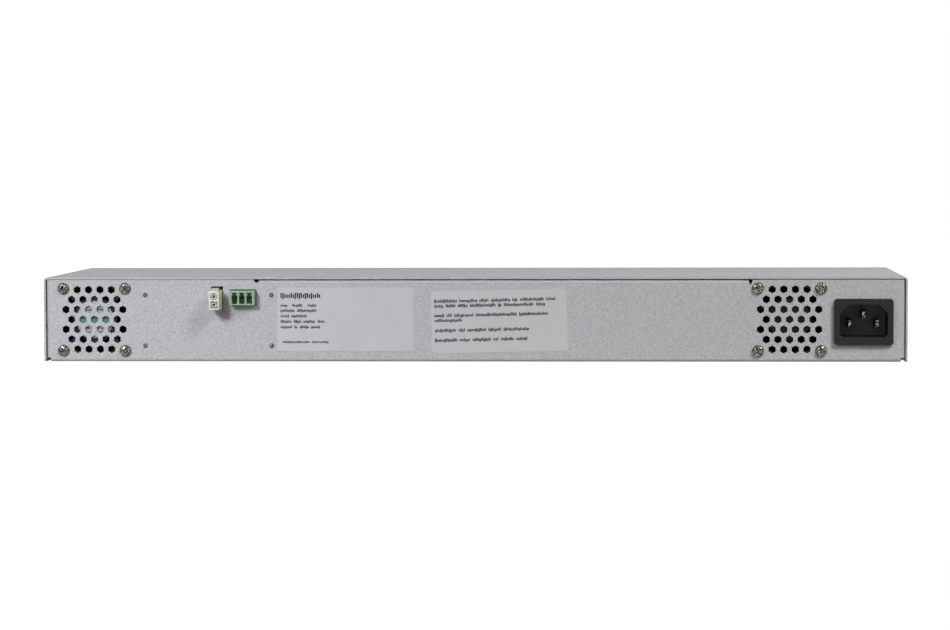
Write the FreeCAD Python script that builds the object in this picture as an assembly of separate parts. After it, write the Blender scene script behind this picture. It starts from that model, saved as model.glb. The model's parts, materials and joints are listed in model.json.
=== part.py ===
import FreeCAD, Part
import math
import os

Vector = FreeCAD.Vector

# Frame: millimetres, +X to the right seen from behind, +Y from the rear wall to the front wall, +Z up.
# The origin lies on the surface under the middle of the whole unit.

# Fans
FAN_SIZE = 40.0
FAN_DEPTH = 20.0
FAN_HOLE_INSET = 4.0
FAN_WALL_HOLE = 3.4
FAN_DUCT_WALL = 1.5
FAN_CORNER = 3.0
FAN_TIP_GAP = 0.5
FAN_ROOM_BELOW = 0.4
FAN_ROOM_ABOVE = 0.6
FAN_BASE_RADIUS = 11.4
FAN_BASE_THICK = 1.6
FAN_BASE_RECESS = 0.3
FAN_STRUT = 2.2
FAN_STRUT_ROOT = 1.0
FAN_STRUT_COUNT = 4
HUB_RADIUS = 10.8
HUB_WALL = 2.2
HUB_RUNNING_GAP = 1.2
HUB_END_ROOM = 0.8
HUB_CAP = 3.0
SHAFT_SEAT = 2.4
BLADE_COUNT = 7
BLADE_THICK = 0.9
BLADE_HALF_CHORD = 6.0
BLADE_EDGE_ROOM = 2.4
SHAFT_RADIUS = 1.0
SHAFT_GAP = 0.05
SHAFT_END_GAP = 0.3
BEARING_RADIUS = 3.0
BEARING_LENGTH = 11.4
BEARING_SEAT = 0.8
STATOR_GAP = 0.5
STATOR_LENGTH = 7.0
STATOR_POLES = 4
STATOR_POLE_WIDTH = 3.2
STATOR_SHOE = 1.2
STICKER_THICK = 0.15

# Sheet metal
WIDTH = 442.0
DEPTH = 130.0
COVER_SHEET = 1.0
BASE_SHEET = 1.2
BASE_BEND = 0.4
COVER_BEND = 0.8
HEIGHT = FAN_SIZE + BASE_SHEET + COVER_SHEET + FAN_ROOM_BELOW + FAN_ROOM_ABOVE
REAR_SIDE_GAP = 0.5
LEFT_TOP_GAP = 0.2
RIGHT_TOP_GAP = 0.4
CORNER_RELIEF = 2.0
REAR_RETURN = 12.0
FRONT_RETURN = 12.0
SIDE_FLANGE = 11.0
SIDE_FLANGE_GAP = 0.8
TOP_FLANGE = 9.0
TOP_FLANGE_GAP = 0.45
ROUND_NOTCH_INSET = 110.1
ROUND_NOTCH_WIDTH = 2.6
ROUND_NOTCH_DEPTH = 1.7
POINTED_NOTCH_INSET = 79.5
POINTED_NOTCH_WIDTH = 2.9
POINTED_NOTCH_DEPTH = 3.1

# Grilles: hexagon holes in staggered rows
GRILLE_ROWS = (4, 5, 6, 5, 6, 5, 4)
GRILLE_PITCH = 5.89
HEXAGON_FLATS = 3.6
LEFT_FAN_INSET = 26.2
RIGHT_FAN_INSET = 59.7

# Fan fasteners, M3
SCREW_RADIUS = 1.5
PAN_HEAD_RADIUS = 2.95
PAN_HEAD_HEIGHT = 2.1
FAN_SCREW_LENGTH = 10.0

# Cover screws, countersunk M3, threaded into the base's side flanges
COVER_SCREW_HEIGHT = 6.4
COVER_SCREW_INSET = 40.0
COVER_SCREW_LENGTH = 5.0
COUNTERSINK_RADIUS = 2.6
COUNTERSINK_GAP = 0.05

# Rack bracket holes, M4, tapped in the cover's sides near the front
BRACKET_SPAN_Z = 12.0
BRACKET_INSET = 22.0
BRACKET_THREAD_RADIUS = 2.0

# Output board behind the rear wall, carried on four posts that are clinched flush into the wall
OUTPUT_BOARD_FROM_FAN = 2.5
OUTPUT_BOARD_WIDTH = 73.0
OUTPUT_BOARD_ROOM_BELOW = 3.4
OUTPUT_BOARD_ROOM_ABOVE = 4.6
BOARD_THICK = 1.6
POST_INSET_X = 3.9
POST_INSET_Z = 3.5
POST_FLATS = 5.0
POST_SHANK = 2.6
POST_CATCH = 3.4
POST_TIP = 2.0
SPACER_LENGTH = 2.0
PIN_TAIL = 2.2

# Power header, two circuits on a 4.2 mm pitch, one above the other
POWER_FROM_SIGNAL = 13.4
POWER_DROP = 10.4
POWER_PITCH = 4.2
POWER_WIDTH = 5.2
POWER_HEIGHT = 9.6
POWER_PROUD = 13.0
POWER_SOCKET = 3.4
POWER_SOCKET_DEPTH = 9.5
POWER_SOCKET_CHAMFER = 0.9
POWER_SILO = 2.4
POWER_SILO_SETBACK = 0.3
POWER_SILO_BORE = 1.5
POWER_LATCH_WIDTH = 3.6
POWER_LATCH_RISE = 1.5
POWER_LATCH_SETBACK = 1.0
POWER_LATCH_LENGTH = 5.0
POWER_LATCH_CREST = 0.8
POWER_PIN = 1.1
POWER_PIN_RECESS = 3.0

# Signal header, three positions on a 3.81 mm pitch
SIGNAL_FROM_EDGE = 18.5
SIGNAL_DROP = 9.35
SIGNAL_PITCH = 3.81
SIGNAL_COUNT = 3
SIGNAL_WIDTH = 12.8
SIGNAL_HEIGHT = 7.5
SIGNAL_PROUD = 6.0
SIGNAL_TOP_CHAMFER = 0.7
SIGNAL_SLOT_WIDTH = 2.9
SIGNAL_SLOT_HEIGHT = 4.3
SIGNAL_NECK_WIDTH = 1.3
SIGNAL_NECK_HEIGHT = 0.6
SIGNAL_KEY_WIDTH = 2.6
SIGNAL_KEY_HEIGHT = 0.8
SIGNAL_SLOT_FLOOR = 0.75
SIGNAL_SLOT_DEPTH = 7.4
SIGNAL_PIN = 1.0
SIGNAL_PIN_RECESS = 3.5
HEADER_CUTOUT_GAP = 0.45

# Mains inlet, snap-in, three pins
INLET_INSET = 22.3
INLET_CENTRE_Z = 20.4
INLET_FLANGE_WIDTH = 30.0
INLET_FLANGE_HEIGHT = 23.6
INLET_FLANGE_PROUD = 2.4
INLET_FLANGE_CORNER = 1.6
INLET_BODY_WIDTH = 27.0
INLET_BODY_HEIGHT = 20.0
INLET_BODY_DEPTH = 17.5
INLET_CUTOUT_GAP = 0.3
INLET_RECESS_WIDTH = 24.2
INLET_RECESS_HEIGHT = 16.6
INLET_RECESS_RISE = 0.55
INLET_RECESS_DEPTH = 15.4
INLET_RECESS_CHAMFER = 4.6
INLET_RECESS_CORNER = 2.2
INLET_CLIP_WIDTH = 0.9
INLET_CLIP_LENGTH = 5.0
INLET_CLIP_HEIGHT = 6.0
INLET_CLIP_GAP = 0.1
PIN_WIDTH = 2.0
PIN_HEIGHT = 4.0
PIN_SPACING = 14.0
LINE_PIN_DROP = 1.5
EARTH_PIN_RISE = 3.0
PIN_RECESS = 1.6
EARTH_PIN_RECESS = 0.9
TAB_WIDTH = 4.8
TAB_THICK = 0.8
TAB_LENGTH = 8.0

# Converter board on the bottom, between the fans
BOARD_FROM_LEFT_FAN = 46.5
BOARD_FROM_RIGHT_FAN = 22.0
BOARD_END_GAP = 8.0
SUPPORT_HEIGHT = 6.0
SUPPORT_WIDTH = 6.0
SUPPORT_INSET = 5.0
INSULATOR_THICK = 0.4
INSULATOR_BORDER = 2.0
INSULATOR_HOLE_GAP = 0.6

# Parts on the converter board
TERMINAL_WIDTH = 10.0
TERMINAL_POLE = 7.6
TERMINAL_HEIGHT = 15.0
TERMINAL_ENTRY = 3.0
TERMINAL_ENTRY_DEPTH = 5.0
TERMINAL_POLES = 2
TERMINAL_EDGE = 2.0
TERMINAL_BACK = 50.0
FUSE_LENGTH = 20.0
FUSE_RADIUS = 2.6
FUSE_CAP_LENGTH = 5.0
FUSE_LIFT = 2.0
FUSE_SETBACK = 20.0
CLIP_SHEET = 0.6
CHOKE_WIDTH = 22.0
CHOKE_LENGTH = 27.0
CHOKE_HEIGHT = 26.0
CHOKE_FROM_FUSE = 6.0
CHOKE_LIMB = 6.0
CHOKE_COIL = 11.6
CHOKE_COIL_EDGE = 1.6
FILM_GAP = 1.5
FILM_EDGE = 0.8
FILM_WIDTH = 8.5
FILM_LENGTH = 26.0
FILM_HEIGHT = 17.0
BULK_RADIUS = 12.5
BULK_HEIGHT = 25.0
BULK_SETBACK = 38.0
BULK_BACK = 22.0
HEATSINK_PLATE = 3.0
HEATSINK_FIN = 1.4
HEATSINK_FIN_REACH = 5.0
HEATSINK_FIN_COUNT = 8
HEATSINK_LENGTH = 76.0
HEATSINK_HEIGHT = 26.0
PRIMARY_SINK_SETBACK = 68.0
PACKAGE_WIDTH = 15.6
PACKAGE_HEIGHT = 20.0
PACKAGE_THICK = 4.8
PACKAGE_LIFT = 4.0
PACKAGE_LEG = 1.2
BRIDGE_WIDTH = 26.0
BRIDGE_HEIGHT = 17.0
CORE_WIDTH = 36.0
CORE_LENGTH = 40.0
CORE_HEIGHT = 13.0
CORE_LEG = 6.0
CORE_CENTRE_LEG = 12.0
CORE_SIDE_ROOM = 4.0
WINDING_EDGE = 2.0
BOBBIN_THICK = 1.4
WINDING_ROOM = 0.6
BOBBIN_LIFT = 3.8
INDUCTOR_SIZE = 23.0
INDUCTOR_EDGE = 4.0
INDUCTOR_HEIGHT = 14.0
INDUCTOR_FRONT_ROOM = 2.0
INDUCTOR_SETBACK = 28.0
OUTPUT_CAN_RADIUS = 5.0
OUTPUT_CAN_HEIGHT = 20.0
OUTPUT_CAN_PITCH = 13.0
OUTPUT_CAN_COUNT = 2
OUTPUT_CAN_SETBACK = 28.0
FAN_PLUG_WIDTH = 6.0
FAN_PLUG_LENGTH = 7.5
FAN_PLUG_HEIGHT = 7.0
FAN_PLUG_BACK = 11.0
FAN_PLUG_EDGE = 1.0

# Leads, flat in section, each laid in one plane
MAINS_LEAD = (2.2, 2.8)
OUTPUT_LEAD = (2.4, 2.8)
FAN_LEAD = (1.4, 2.8)
LEAD_BEND_SHARE = 0.45
FAN_LEAD_SHIFT = 6.2
LEFT_FAN_LEAD_RUN = 12.0
RIGHT_FAN_LEAD_RUN = 7.5
OUTPUT_LEAD_RUN = 20.0
OUTPUT_LEAD_STEP = 10.0

# Earth tab, a folded blade on the bottom in front of the inlet
EARTH_TAB_WIDTH = 6.3
EARTH_TAB_SHEET = 0.8
EARTH_TAB_HEIGHT = 9.0
EARTH_TAB_FOOT = 9.0
EARTH_TAB_REACH = 17.0
EARTH_TAB_BEND = 0.8
RECEPTACLE_WALL = 0.6
RECEPTACLE_LENGTH = 7.0

# Stickers on the rear wall, and the lamp in the front wall
RATING_FROM_SIGNAL = 11.0
RATING_WIDTH = 70.0
RATING_HEIGHT = 32.5
RATING_LOW_Z = 5.4
STICKER_GAP = 9.3
NOTICE_WIDTH = 69.4
NOTICE_HEIGHT = 31.8
NOTICE_CORNER = 2.0
NOTICE_CENTRE_Z = 20.8
NOTICE_TILT = 1.3
LAMP_WIDTH = 5.0
LAMP_HEIGHT = 2.0
LAMP_INSET = 60.0
LAMP_CENTRE_Z = 21.6
LAMP_COLLAR = 1.0
LAMP_LENGTH = 7.0

# How far a cutting tool runs past the face that it cuts, and how near a face an edge counts as on it
OVERCUT = 1.0
ON_FACE = 0.01

# Places worked out from the sizes above
REAR_Y = (POWER_PROUD - DEPTH) / 2.0
FRONT_Y = REAR_Y + DEPTH
REAR_IN = REAR_Y + BASE_SHEET
FRONT_IN = FRONT_Y - BASE_SHEET
HALF_WIDTH = WIDTH / 2.0
COVER_IN = HALF_WIDTH - COVER_SHEET
COVER_UNDER = HEIGHT - COVER_SHEET
REAR_HALF = COVER_IN - REAR_SIDE_GAP
FAN_BORE = FAN_SIZE - 2.0 * FAN_DUCT_WALL
FAN_HOLE_SPAN = FAN_SIZE - 2.0 * FAN_HOLE_INSET
FAN_Z = BASE_SHEET + FAN_ROOM_BELOW + FAN_SIZE / 2.0
LEFT_FAN_X = LEFT_FAN_INSET - HALF_WIDTH
RIGHT_FAN_X = HALF_WIDTH - RIGHT_FAN_INSET
ROUND_NOTCH_X = ROUND_NOTCH_INSET - HALF_WIDTH
POINTED_NOTCH_X = HALF_WIDTH - POINTED_NOTCH_INSET
INLET_X = HALF_WIDTH - INLET_INSET
OUTPUT_BOARD_LEFT = LEFT_FAN_X + FAN_SIZE / 2.0 + OUTPUT_BOARD_FROM_FAN
OUTPUT_BOARD_RIGHT = OUTPUT_BOARD_LEFT + OUTPUT_BOARD_WIDTH
OUTPUT_BOARD_X = (OUTPUT_BOARD_LEFT + OUTPUT_BOARD_RIGHT) / 2.0
OUTPUT_BOARD_LOW = BASE_SHEET + OUTPUT_BOARD_ROOM_BELOW
OUTPUT_BOARD_HIGH = COVER_UNDER - OUTPUT_BOARD_ROOM_ABOVE
OUTPUT_BOARD_Z = (OUTPUT_BOARD_LOW + OUTPUT_BOARD_HIGH) / 2.0
POST_SPAN_X = OUTPUT_BOARD_WIDTH - 2.0 * POST_INSET_X
POST_SPAN_Z = OUTPUT_BOARD_HIGH - OUTPUT_BOARD_LOW - 2.0 * POST_INSET_Z
SIGNAL_X = OUTPUT_BOARD_RIGHT - SIGNAL_FROM_EDGE
SIGNAL_CENTRE_Z = COVER_UNDER - SIGNAL_DROP
POWER_X = SIGNAL_X - POWER_FROM_SIGNAL
POWER_CENTRE_Z = COVER_UNDER - POWER_DROP
OUTPUT_BOARD_Y = REAR_IN + SPACER_LENGTH
OUTPUT_BOARD_BACK = OUTPUT_BOARD_Y + BOARD_THICK
BOARD_LEFT = LEFT_FAN_X + FAN_SIZE / 2.0 + BOARD_FROM_LEFT_FAN
BOARD_RIGHT = RIGHT_FAN_X - FAN_SIZE / 2.0 - BOARD_FROM_RIGHT_FAN
BOARD_REAR = REAR_IN + BOARD_END_GAP
BOARD_FRONT = FRONT_IN - BOARD_END_GAP
BOARD_MID_X = (BOARD_LEFT + BOARD_RIGHT) / 2.0
BOARD_MID_Y = (BOARD_REAR + BOARD_FRONT) / 2.0
BOARD_UNDER = BASE_SHEET + SUPPORT_HEIGHT
BOARD_TOP = BOARD_UNDER + BOARD_THICK
INLET_RECESS_Z = INLET_CENTRE_Z + INLET_RECESS_RISE
INLET_BACK = REAR_Y + INLET_BODY_DEPTH
TAB_END = INLET_BACK + TAB_LENGTH
LEAD_Z = INLET_RECESS_Z - LINE_PIN_DROP
EARTH_TAB_Y = TAB_END + EARTH_TAB_REACH
RATING_X = SIGNAL_X + SIGNAL_WIDTH / 2.0 + RATING_FROM_SIGNAL
NOTICE_X = RATING_X + RATING_WIDTH + STICKER_GAP + NOTICE_WIDTH / 2.0

ALONG_X = Vector(1, 0, 0)
ALONG_Y = Vector(0, 1, 0)
ALONG_Z = Vector(0, 0, 1)


def block(x, y, z):
    """Box between the low and high value of each pair."""
    corner = Vector(x[0], y[0], z[0])
    return Part.makeBox(x[1] - x[0], y[1] - y[0], z[1] - z[0], corner)


def span(centre, size):
    """Low and high value of a length centred on a point."""
    return centre - size / 2.0, centre + size / 2.0


def rod(radius, start, end):
    """Round bar from start to end."""
    along = end - start
    return Part.makeCylinder(radius, along.Length, start, along)


def together(shapes):
    """Separate pieces of one node."""
    return Part.makeCompound(shapes)


def joined(shapes):
    """One solid out of pieces that meet, with the seams between flush faces removed."""
    return shapes[0].fuse(shapes[1:]).removeSplitter()


def edges_along(shape, direction):
    """Straight edges of a shape that run along a direction."""
    found = []
    for edge in shape.Edges:
        if isinstance(edge.Curve, Part.Line) and abs(edge.Curve.Direction.dot(direction)) > 0.999:
            found.append(edge)
    return found


def rounded_block(x, y, z, radius, direction):
    """Box with the four edges along one direction rounded."""
    box = block(x, y, z)
    return box.makeFillet(radius, edges_along(box, direction))


def eased_block(x, y, z, cut, direction):
    """Box with the four edges along one direction cut off at 45 degrees."""
    box = block(x, y, z)
    return box.makeChamfer(cut, edges_along(box, direction))


def prism(points, sweep):
    """Straight prism over a closed outline of points."""
    return Part.Face(Part.makePolygon(points + [points[0]])).extrude(sweep)


def hexagon(flats, centre):
    """Outline of an upright hexagon across flats, square to Y, with corners up and down."""
    radius = flats / math.sqrt(3.0)
    points = []
    for corner in range(6):
        angle = math.radians(60.0 * corner)
        points.append(centre + ALONG_Z * (radius * math.cos(angle)) + ALONG_X * (radius * math.sin(angle)))
    return points


def folded_sheet(outline, sheet, bend, place, sweep):
    """Sheet folded along a flat outline of its outside face.

    The outline is a list of (u, v) points that turns left at every bend, place(u, v) puts a
    point of it in space, and the section is swept by a vector.
    """
    points = [Vector(u, v, 0) for u, v in outline]
    ways = [(b - a).normalize() for a, b in zip(points, points[1:])]
    insides = [Vector(-way.y, way.x, 0) for way in ways]
    outer_radius = bend + sheet
    outer = []
    inner = []
    outer_at = points[0]
    inner_at = points[0] + insides[0] * sheet
    start_cap = (inner_at, outer_at)
    for number in range(1, len(points) - 1):
        corner = points[number]
        turn = ways[number - 1].getAngle(ways[number])
        reach = outer_radius * math.tan(turn / 2.0)
        arrive = corner - ways[number - 1] * reach
        leave = corner + ways[number] * reach
        centre = arrive + insides[number - 1] * outer_radius
        middle = (corner - centre).normalize()
        inner_arrive = arrive + insides[number - 1] * sheet
        inner_leave = leave + insides[number] * sheet
        outer_top = place(centre + middle * outer_radius)
        inner_top = place(centre + middle * bend)
        outer.append(Part.LineSegment(place(outer_at), place(arrive)).toShape())
        outer.append(Part.Arc(place(arrive), outer_top, place(leave)).toShape())
        inner.append(Part.LineSegment(place(inner_at), place(inner_arrive)).toShape())
        inner.append(Part.Arc(place(inner_arrive), inner_top, place(inner_leave)).toShape())
        outer_at = leave
        inner_at = inner_leave
    outer_end = points[-1]
    inner_end = points[-1] + insides[-1] * sheet
    outer.append(Part.LineSegment(place(outer_at), place(outer_end)).toShape())
    inner.append(Part.LineSegment(place(inner_at), place(inner_end)).toShape())
    end_cap = Part.LineSegment(place(outer_end), place(inner_end)).toShape()
    first_cap = Part.LineSegment(place(start_cap[0]), place(start_cap[1])).toShape()
    section = Part.Wire(outer + [end_cap] + inner[::-1] + [first_cap])
    return Part.Face(section).extrude(sweep)


def wall_corners(centre_x, centre_z, span_x, span_z):
    """The four corners (x, z) of a rectangle on a wall."""
    corners = []
    for side in (-1, 1):
        for level in (-1, 1):
            corners.append((centre_x + side * span_x / 2.0, centre_z + level * span_z / 2.0))
    return corners


# Base tray

def grille_holes(centre_x):
    """Hexagon prisms of one grille, corners up and down, through the rear wall."""
    row_step = GRILLE_PITCH * math.sin(math.radians(60.0))
    middle_row = (len(GRILLE_ROWS) - 1) / 2.0
    holes = []
    for row, count in enumerate(GRILLE_ROWS):
        for place_in_row in range(count):
            x = centre_x + (place_in_row - (count - 1) / 2.0) * GRILLE_PITCH
            z = FAN_Z + (row - middle_row) * row_step
            middle = Vector(x, REAR_Y - OVERCUT, z)
            holes.append(prism(hexagon(HEXAGON_FLATS, middle), ALONG_Y * (BASE_SHEET + 2.0 * OVERCUT)))
    return holes


def rear_cutouts():
    """Everything that is punched out of the rear wall."""
    through = (REAR_Y - OVERCUT, REAR_IN + OVERCUT)
    tools = []
    for fan_x in (LEFT_FAN_X, RIGHT_FAN_X):
        tools += grille_holes(fan_x)
        for x, z in wall_corners(fan_x, FAN_Z, FAN_HOLE_SPAN, FAN_HOLE_SPAN):
            tools.append(rod(FAN_WALL_HOLE / 2.0, Vector(x, through[0], z), Vector(x, through[1], z)))
    gap = HEADER_CUTOUT_GAP
    power_low = POWER_CENTRE_Z - POWER_HEIGHT / 2.0 - gap
    power_high = POWER_CENTRE_Z + POWER_HEIGHT / 2.0 + POWER_LATCH_RISE + gap
    tools.append(block(span(POWER_X, POWER_WIDTH + 2.0 * gap), through, (power_low, power_high)))
    signal_z = span(SIGNAL_CENTRE_Z, SIGNAL_HEIGHT + 2.0 * gap)
    tools.append(block(span(SIGNAL_X, SIGNAL_WIDTH + 2.0 * gap), through, signal_z))
    inlet_x = span(INLET_X, INLET_BODY_WIDTH + 2.0 * INLET_CUTOUT_GAP)
    inlet_z = span(INLET_CENTRE_Z, INLET_BODY_HEIGHT + 2.0 * INLET_CUTOUT_GAP)
    tools.append(block(inlet_x, through, inlet_z))
    return tools


def notches():
    """The two bend reliefs in the top edge, each side of the inward flange."""
    deep = (REAR_Y - OVERCUT, REAR_Y + TOP_FLANGE + OVERCUT)
    top = HEIGHT
    radius = ROUND_NOTCH_WIDTH / 2.0
    centre_z = COVER_UNDER - ROUND_NOTCH_DEPTH + radius
    round_x = span(ROUND_NOTCH_X, ROUND_NOTCH_WIDTH)
    low = Vector(ROUND_NOTCH_X, deep[0], centre_z)
    high = Vector(ROUND_NOTCH_X, deep[1], centre_z)
    round_end = rod(radius, low, high)
    round_slot = block(round_x, deep, (centre_z, top))
    half = POINTED_NOTCH_WIDTH / 2.0
    tip = Vector(POINTED_NOTCH_X, deep[0], COVER_UNDER - POINTED_NOTCH_DEPTH)
    shoulders = [
        Vector(POINTED_NOTCH_X + half, deep[0], COVER_UNDER),
        Vector(POINTED_NOTCH_X + half, deep[0], top),
        Vector(POINTED_NOTCH_X - half, deep[0], top),
        Vector(POINTED_NOTCH_X - half, deep[0], COVER_UNDER),
    ]
    pointed = prism([tip] + shoulders, ALONG_Y * (deep[1] - deep[0]))
    return [round_end, round_slot, pointed]


def base_tray():
    """Bottom, rear wall, front wall and side flanges, punched and folded from one sheet."""
    left_top = COVER_UNDER - LEFT_TOP_GAP
    right_top = COVER_UNDER - RIGHT_TOP_GAP
    flange_top = COVER_UNDER - TOP_FLANGE_GAP
    low_corner = REAR_HALF - CORNER_RELIEF

    def lengthwise(point):
        return Vector(0, point.x, point.y)

    def across(point):
        return Vector(point.x, 0, point.y)

    def strip(outline, x_low, x_high):
        return folded_sheet(
            outline, BASE_SHEET, BASE_BEND, lambda p: lengthwise(p) + ALONG_X * x_low,
            ALONG_X * (x_high - x_low)
        )

    def upright(outline, top):
        return folded_sheet(
            outline, BASE_SHEET, BASE_BEND, lambda p: Vector(p.x, p.y, CORNER_RELIEF),
            ALONG_Z * (top - CORNER_RELIEF)
        )

    floor = [(REAR_Y, 0), (FRONT_Y, 0), (FRONT_Y, left_top)]
    left_length = [(REAR_Y, left_top)] + floor
    middle_length = [(REAR_Y + TOP_FLANGE, flange_top), (REAR_Y, flange_top)] + floor
    right_length = [(REAR_Y, right_top)] + floor
    left_end = [(-REAR_HALF, REAR_Y + REAR_RETURN), (-REAR_HALF, REAR_Y), (ROUND_NOTCH_X, REAR_Y)]
    right_end = [(POINTED_NOTCH_X, REAR_Y), (REAR_HALF, REAR_Y), (REAR_HALF, REAR_Y + REAR_RETURN)]
    front_wall = [
        (COVER_IN, FRONT_Y - FRONT_RETURN),
        (COVER_IN, FRONT_Y),
        (-COVER_IN, FRONT_Y),
        (-COVER_IN, FRONT_Y - FRONT_RETURN),
    ]
    sides = [(-COVER_IN, SIDE_FLANGE), (-COVER_IN, 0), (COVER_IN, 0), (COVER_IN, SIDE_FLANGE)]
    flange_rear = REAR_Y + REAR_RETURN + SIDE_FLANGE_GAP
    flange_front = FRONT_Y - FRONT_RETURN - SIDE_FLANGE_GAP
    pieces = [
        strip(left_length, -low_corner, ROUND_NOTCH_X),
        strip(middle_length, ROUND_NOTCH_X, POINTED_NOTCH_X),
        strip(right_length, POINTED_NOTCH_X, low_corner),
        upright(left_end, left_top),
        upright(right_end, right_top),
        upright(front_wall, left_top),
        folded_sheet(
            sides, BASE_SHEET, BASE_BEND, lambda p: across(p) + ALONG_Y * flange_rear,
            ALONG_Y * (flange_front - flange_rear)
        ),
    ]
    tools = rear_cutouts() + notches()
    for x, y, side in cover_screw_places():
        face = Vector(side * COVER_IN, y, COVER_SCREW_HEIGHT)
        tools.append(rod(SCREW_RADIUS, face, face - ALONG_X * side * (BASE_SHEET + OVERCUT)))
    lamp_x = LAMP_INSET - HALF_WIDTH
    lamp_y = (FRONT_IN - OVERCUT, FRONT_Y + OVERCUT)
    tools.append(block(span(lamp_x, LAMP_WIDTH), lamp_y, span(LAMP_CENTRE_Z, LAMP_HEIGHT)))
    return joined(pieces).cut(together(tools))


# Top cover

def cover_screw_places():
    """(x, y, side) of the screw in each side of the cover, towards the rear."""
    return [(side * HALF_WIDTH, REAR_Y + COVER_SCREW_INSET, side) for side in (-1, 1)]


def bracket_places():
    """(x, y, z, side) of the rack bracket holes, two in each side near the front."""
    places = []
    for side in (-1, 1):
        for level in (-1, 1):
            z = HEIGHT / 2.0 + level * BRACKET_SPAN_Z / 2.0
            places.append((side * HALF_WIDTH, FRONT_Y - BRACKET_INSET, z, side))
    return places


def countersink(x, y, side, shrink):
    """Cone of a countersunk head, from the outer face inwards to the shank."""
    depth = COUNTERSINK_RADIUS - SCREW_RADIUS
    start = Vector(x, y, COVER_SCREW_HEIGHT)
    return Part.makeCone(
        COUNTERSINK_RADIUS - shrink, SCREW_RADIUS - shrink, depth, start, ALONG_X * -side
    )


def top_cover():
    """U-shaped cover whose sides reach down to the bottom, outside the base tray."""
    outline = [(HALF_WIDTH, 0), (HALF_WIDTH, HEIGHT), (-HALF_WIDTH, HEIGHT), (-HALF_WIDTH, 0)]
    shell = folded_sheet(
        outline, COVER_SHEET, COVER_BEND, lambda p: Vector(p.x, REAR_Y, p.y), ALONG_Y * DEPTH
    )
    tools = []
    for x, y, side in cover_screw_places():
        tools.append(countersink(x, y, side, -COUNTERSINK_GAP))
    for x, y, z, side in bracket_places():
        start = Vector(x, y, z)
        tools.append(rod(BRACKET_THREAD_RADIUS, start, start - ALONG_X * side * (COVER_SHEET + OVERCUT)))
    return shell.cut(together(tools))


def cover_screws():
    """Two countersunk screws, flush with the cover's sides."""
    screws = []
    for x, y, side in cover_screw_places():
        start = Vector(x, y, COVER_SCREW_HEIGHT)
        inner = start - ALONG_X * side * COVER_SHEET
        shank = rod(SCREW_RADIUS, inner, start - ALONG_X * side * COVER_SCREW_LENGTH)
        screws.append(joined([countersink(x, y, side, COUNTERSINK_GAP), shank]))
    return together(screws)


# Fans, modelled with the strut side at y = 0 and the axis along Y through the origin

def fan_frame():
    """Moulded frame: duct with corners cored square for thread-forming screws, and motor base on struts."""
    half = FAN_SIZE / 2.0
    bore = FAN_BORE / 2.0
    origin = Vector(0, 0, 0)
    shell = eased_block((-half, half), (0, FAN_DEPTH), (-half, half), FAN_CORNER, ALONG_Y)
    shell = shell.cut(rod(bore, origin, Vector(0, FAN_DEPTH, 0)))
    base = (FAN_BASE_RECESS, FAN_BASE_RECESS + FAN_BASE_THICK)
    struts = []
    for number in range(FAN_STRUT_COUNT):
        reach = (FAN_BASE_RADIUS - FAN_STRUT_ROOT, bore + FAN_STRUT_ROOT)
        strut = block(reach, base, span(0, FAN_STRUT))
        strut.rotate(origin, ALONG_Y, 45.0 + 360.0 * number / FAN_STRUT_COUNT)
        struts.append(strut)
    motor_base = rod(FAN_BASE_RADIUS, Vector(0, base[0], 0), Vector(0, base[1], 0))
    holes = [rod(BEARING_RADIUS, Vector(0, base[1] - BEARING_SEAT, 0), Vector(0, base[1], 0))]
    for x, z in wall_corners(0, 0, FAN_HOLE_SPAN, FAN_HOLE_SPAN):
        holes.append(block(span(x, 2.0 * SCREW_RADIUS), (0, FAN_DEPTH), span(z, 2.0 * SCREW_RADIUS)))
    return joined([shell, motor_base] + struts).cut(together(holes))


def fan_bearing():
    """Sintered sleeve, staked into the motor base."""
    low = Vector(0, FAN_BASE_RECESS + FAN_BASE_THICK - BEARING_SEAT, 0)
    high = low + ALONG_Y * BEARING_LENGTH
    return rod(BEARING_RADIUS, low, high).cut(rod(SHAFT_RADIUS + SHAFT_GAP, low, high))


def fan_stator():
    """Four-pole core with its bobbins, pushed over the bearing."""
    low = FAN_BASE_RECESS + FAN_BASE_THICK + HUB_RUNNING_GAP
    deep = (low, low + STATOR_LENGTH)
    outer = HUB_RADIUS - HUB_WALL - STATOR_GAP
    core = span(0, 2.0 * BEARING_RADIUS + STATOR_POLE_WIDTH)
    pieces = [block(core, deep, core)]
    shoe_half = STATOR_POLE_WIDTH
    shoe_far = math.sqrt(outer * outer - shoe_half * shoe_half)
    for number in range(STATOR_POLES // 2):
        arm = block((-shoe_far, shoe_far), deep, span(0, STATOR_POLE_WIDTH))
        shoes = []
        for near in (-shoe_far, shoe_far - STATOR_SHOE):
            shoes.append(block((near, near + STATOR_SHOE), deep, (-shoe_half, shoe_half)))
        pole = joined([arm] + shoes)
        pole.rotate(Vector(0, 0, 0), ALONG_Y, 360.0 * number / STATOR_POLES)
        pieces.append(pole)
    return joined(pieces).cut(rod(BEARING_RADIUS, Vector(0, deep[0], 0), Vector(0, deep[1], 0)))


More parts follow.
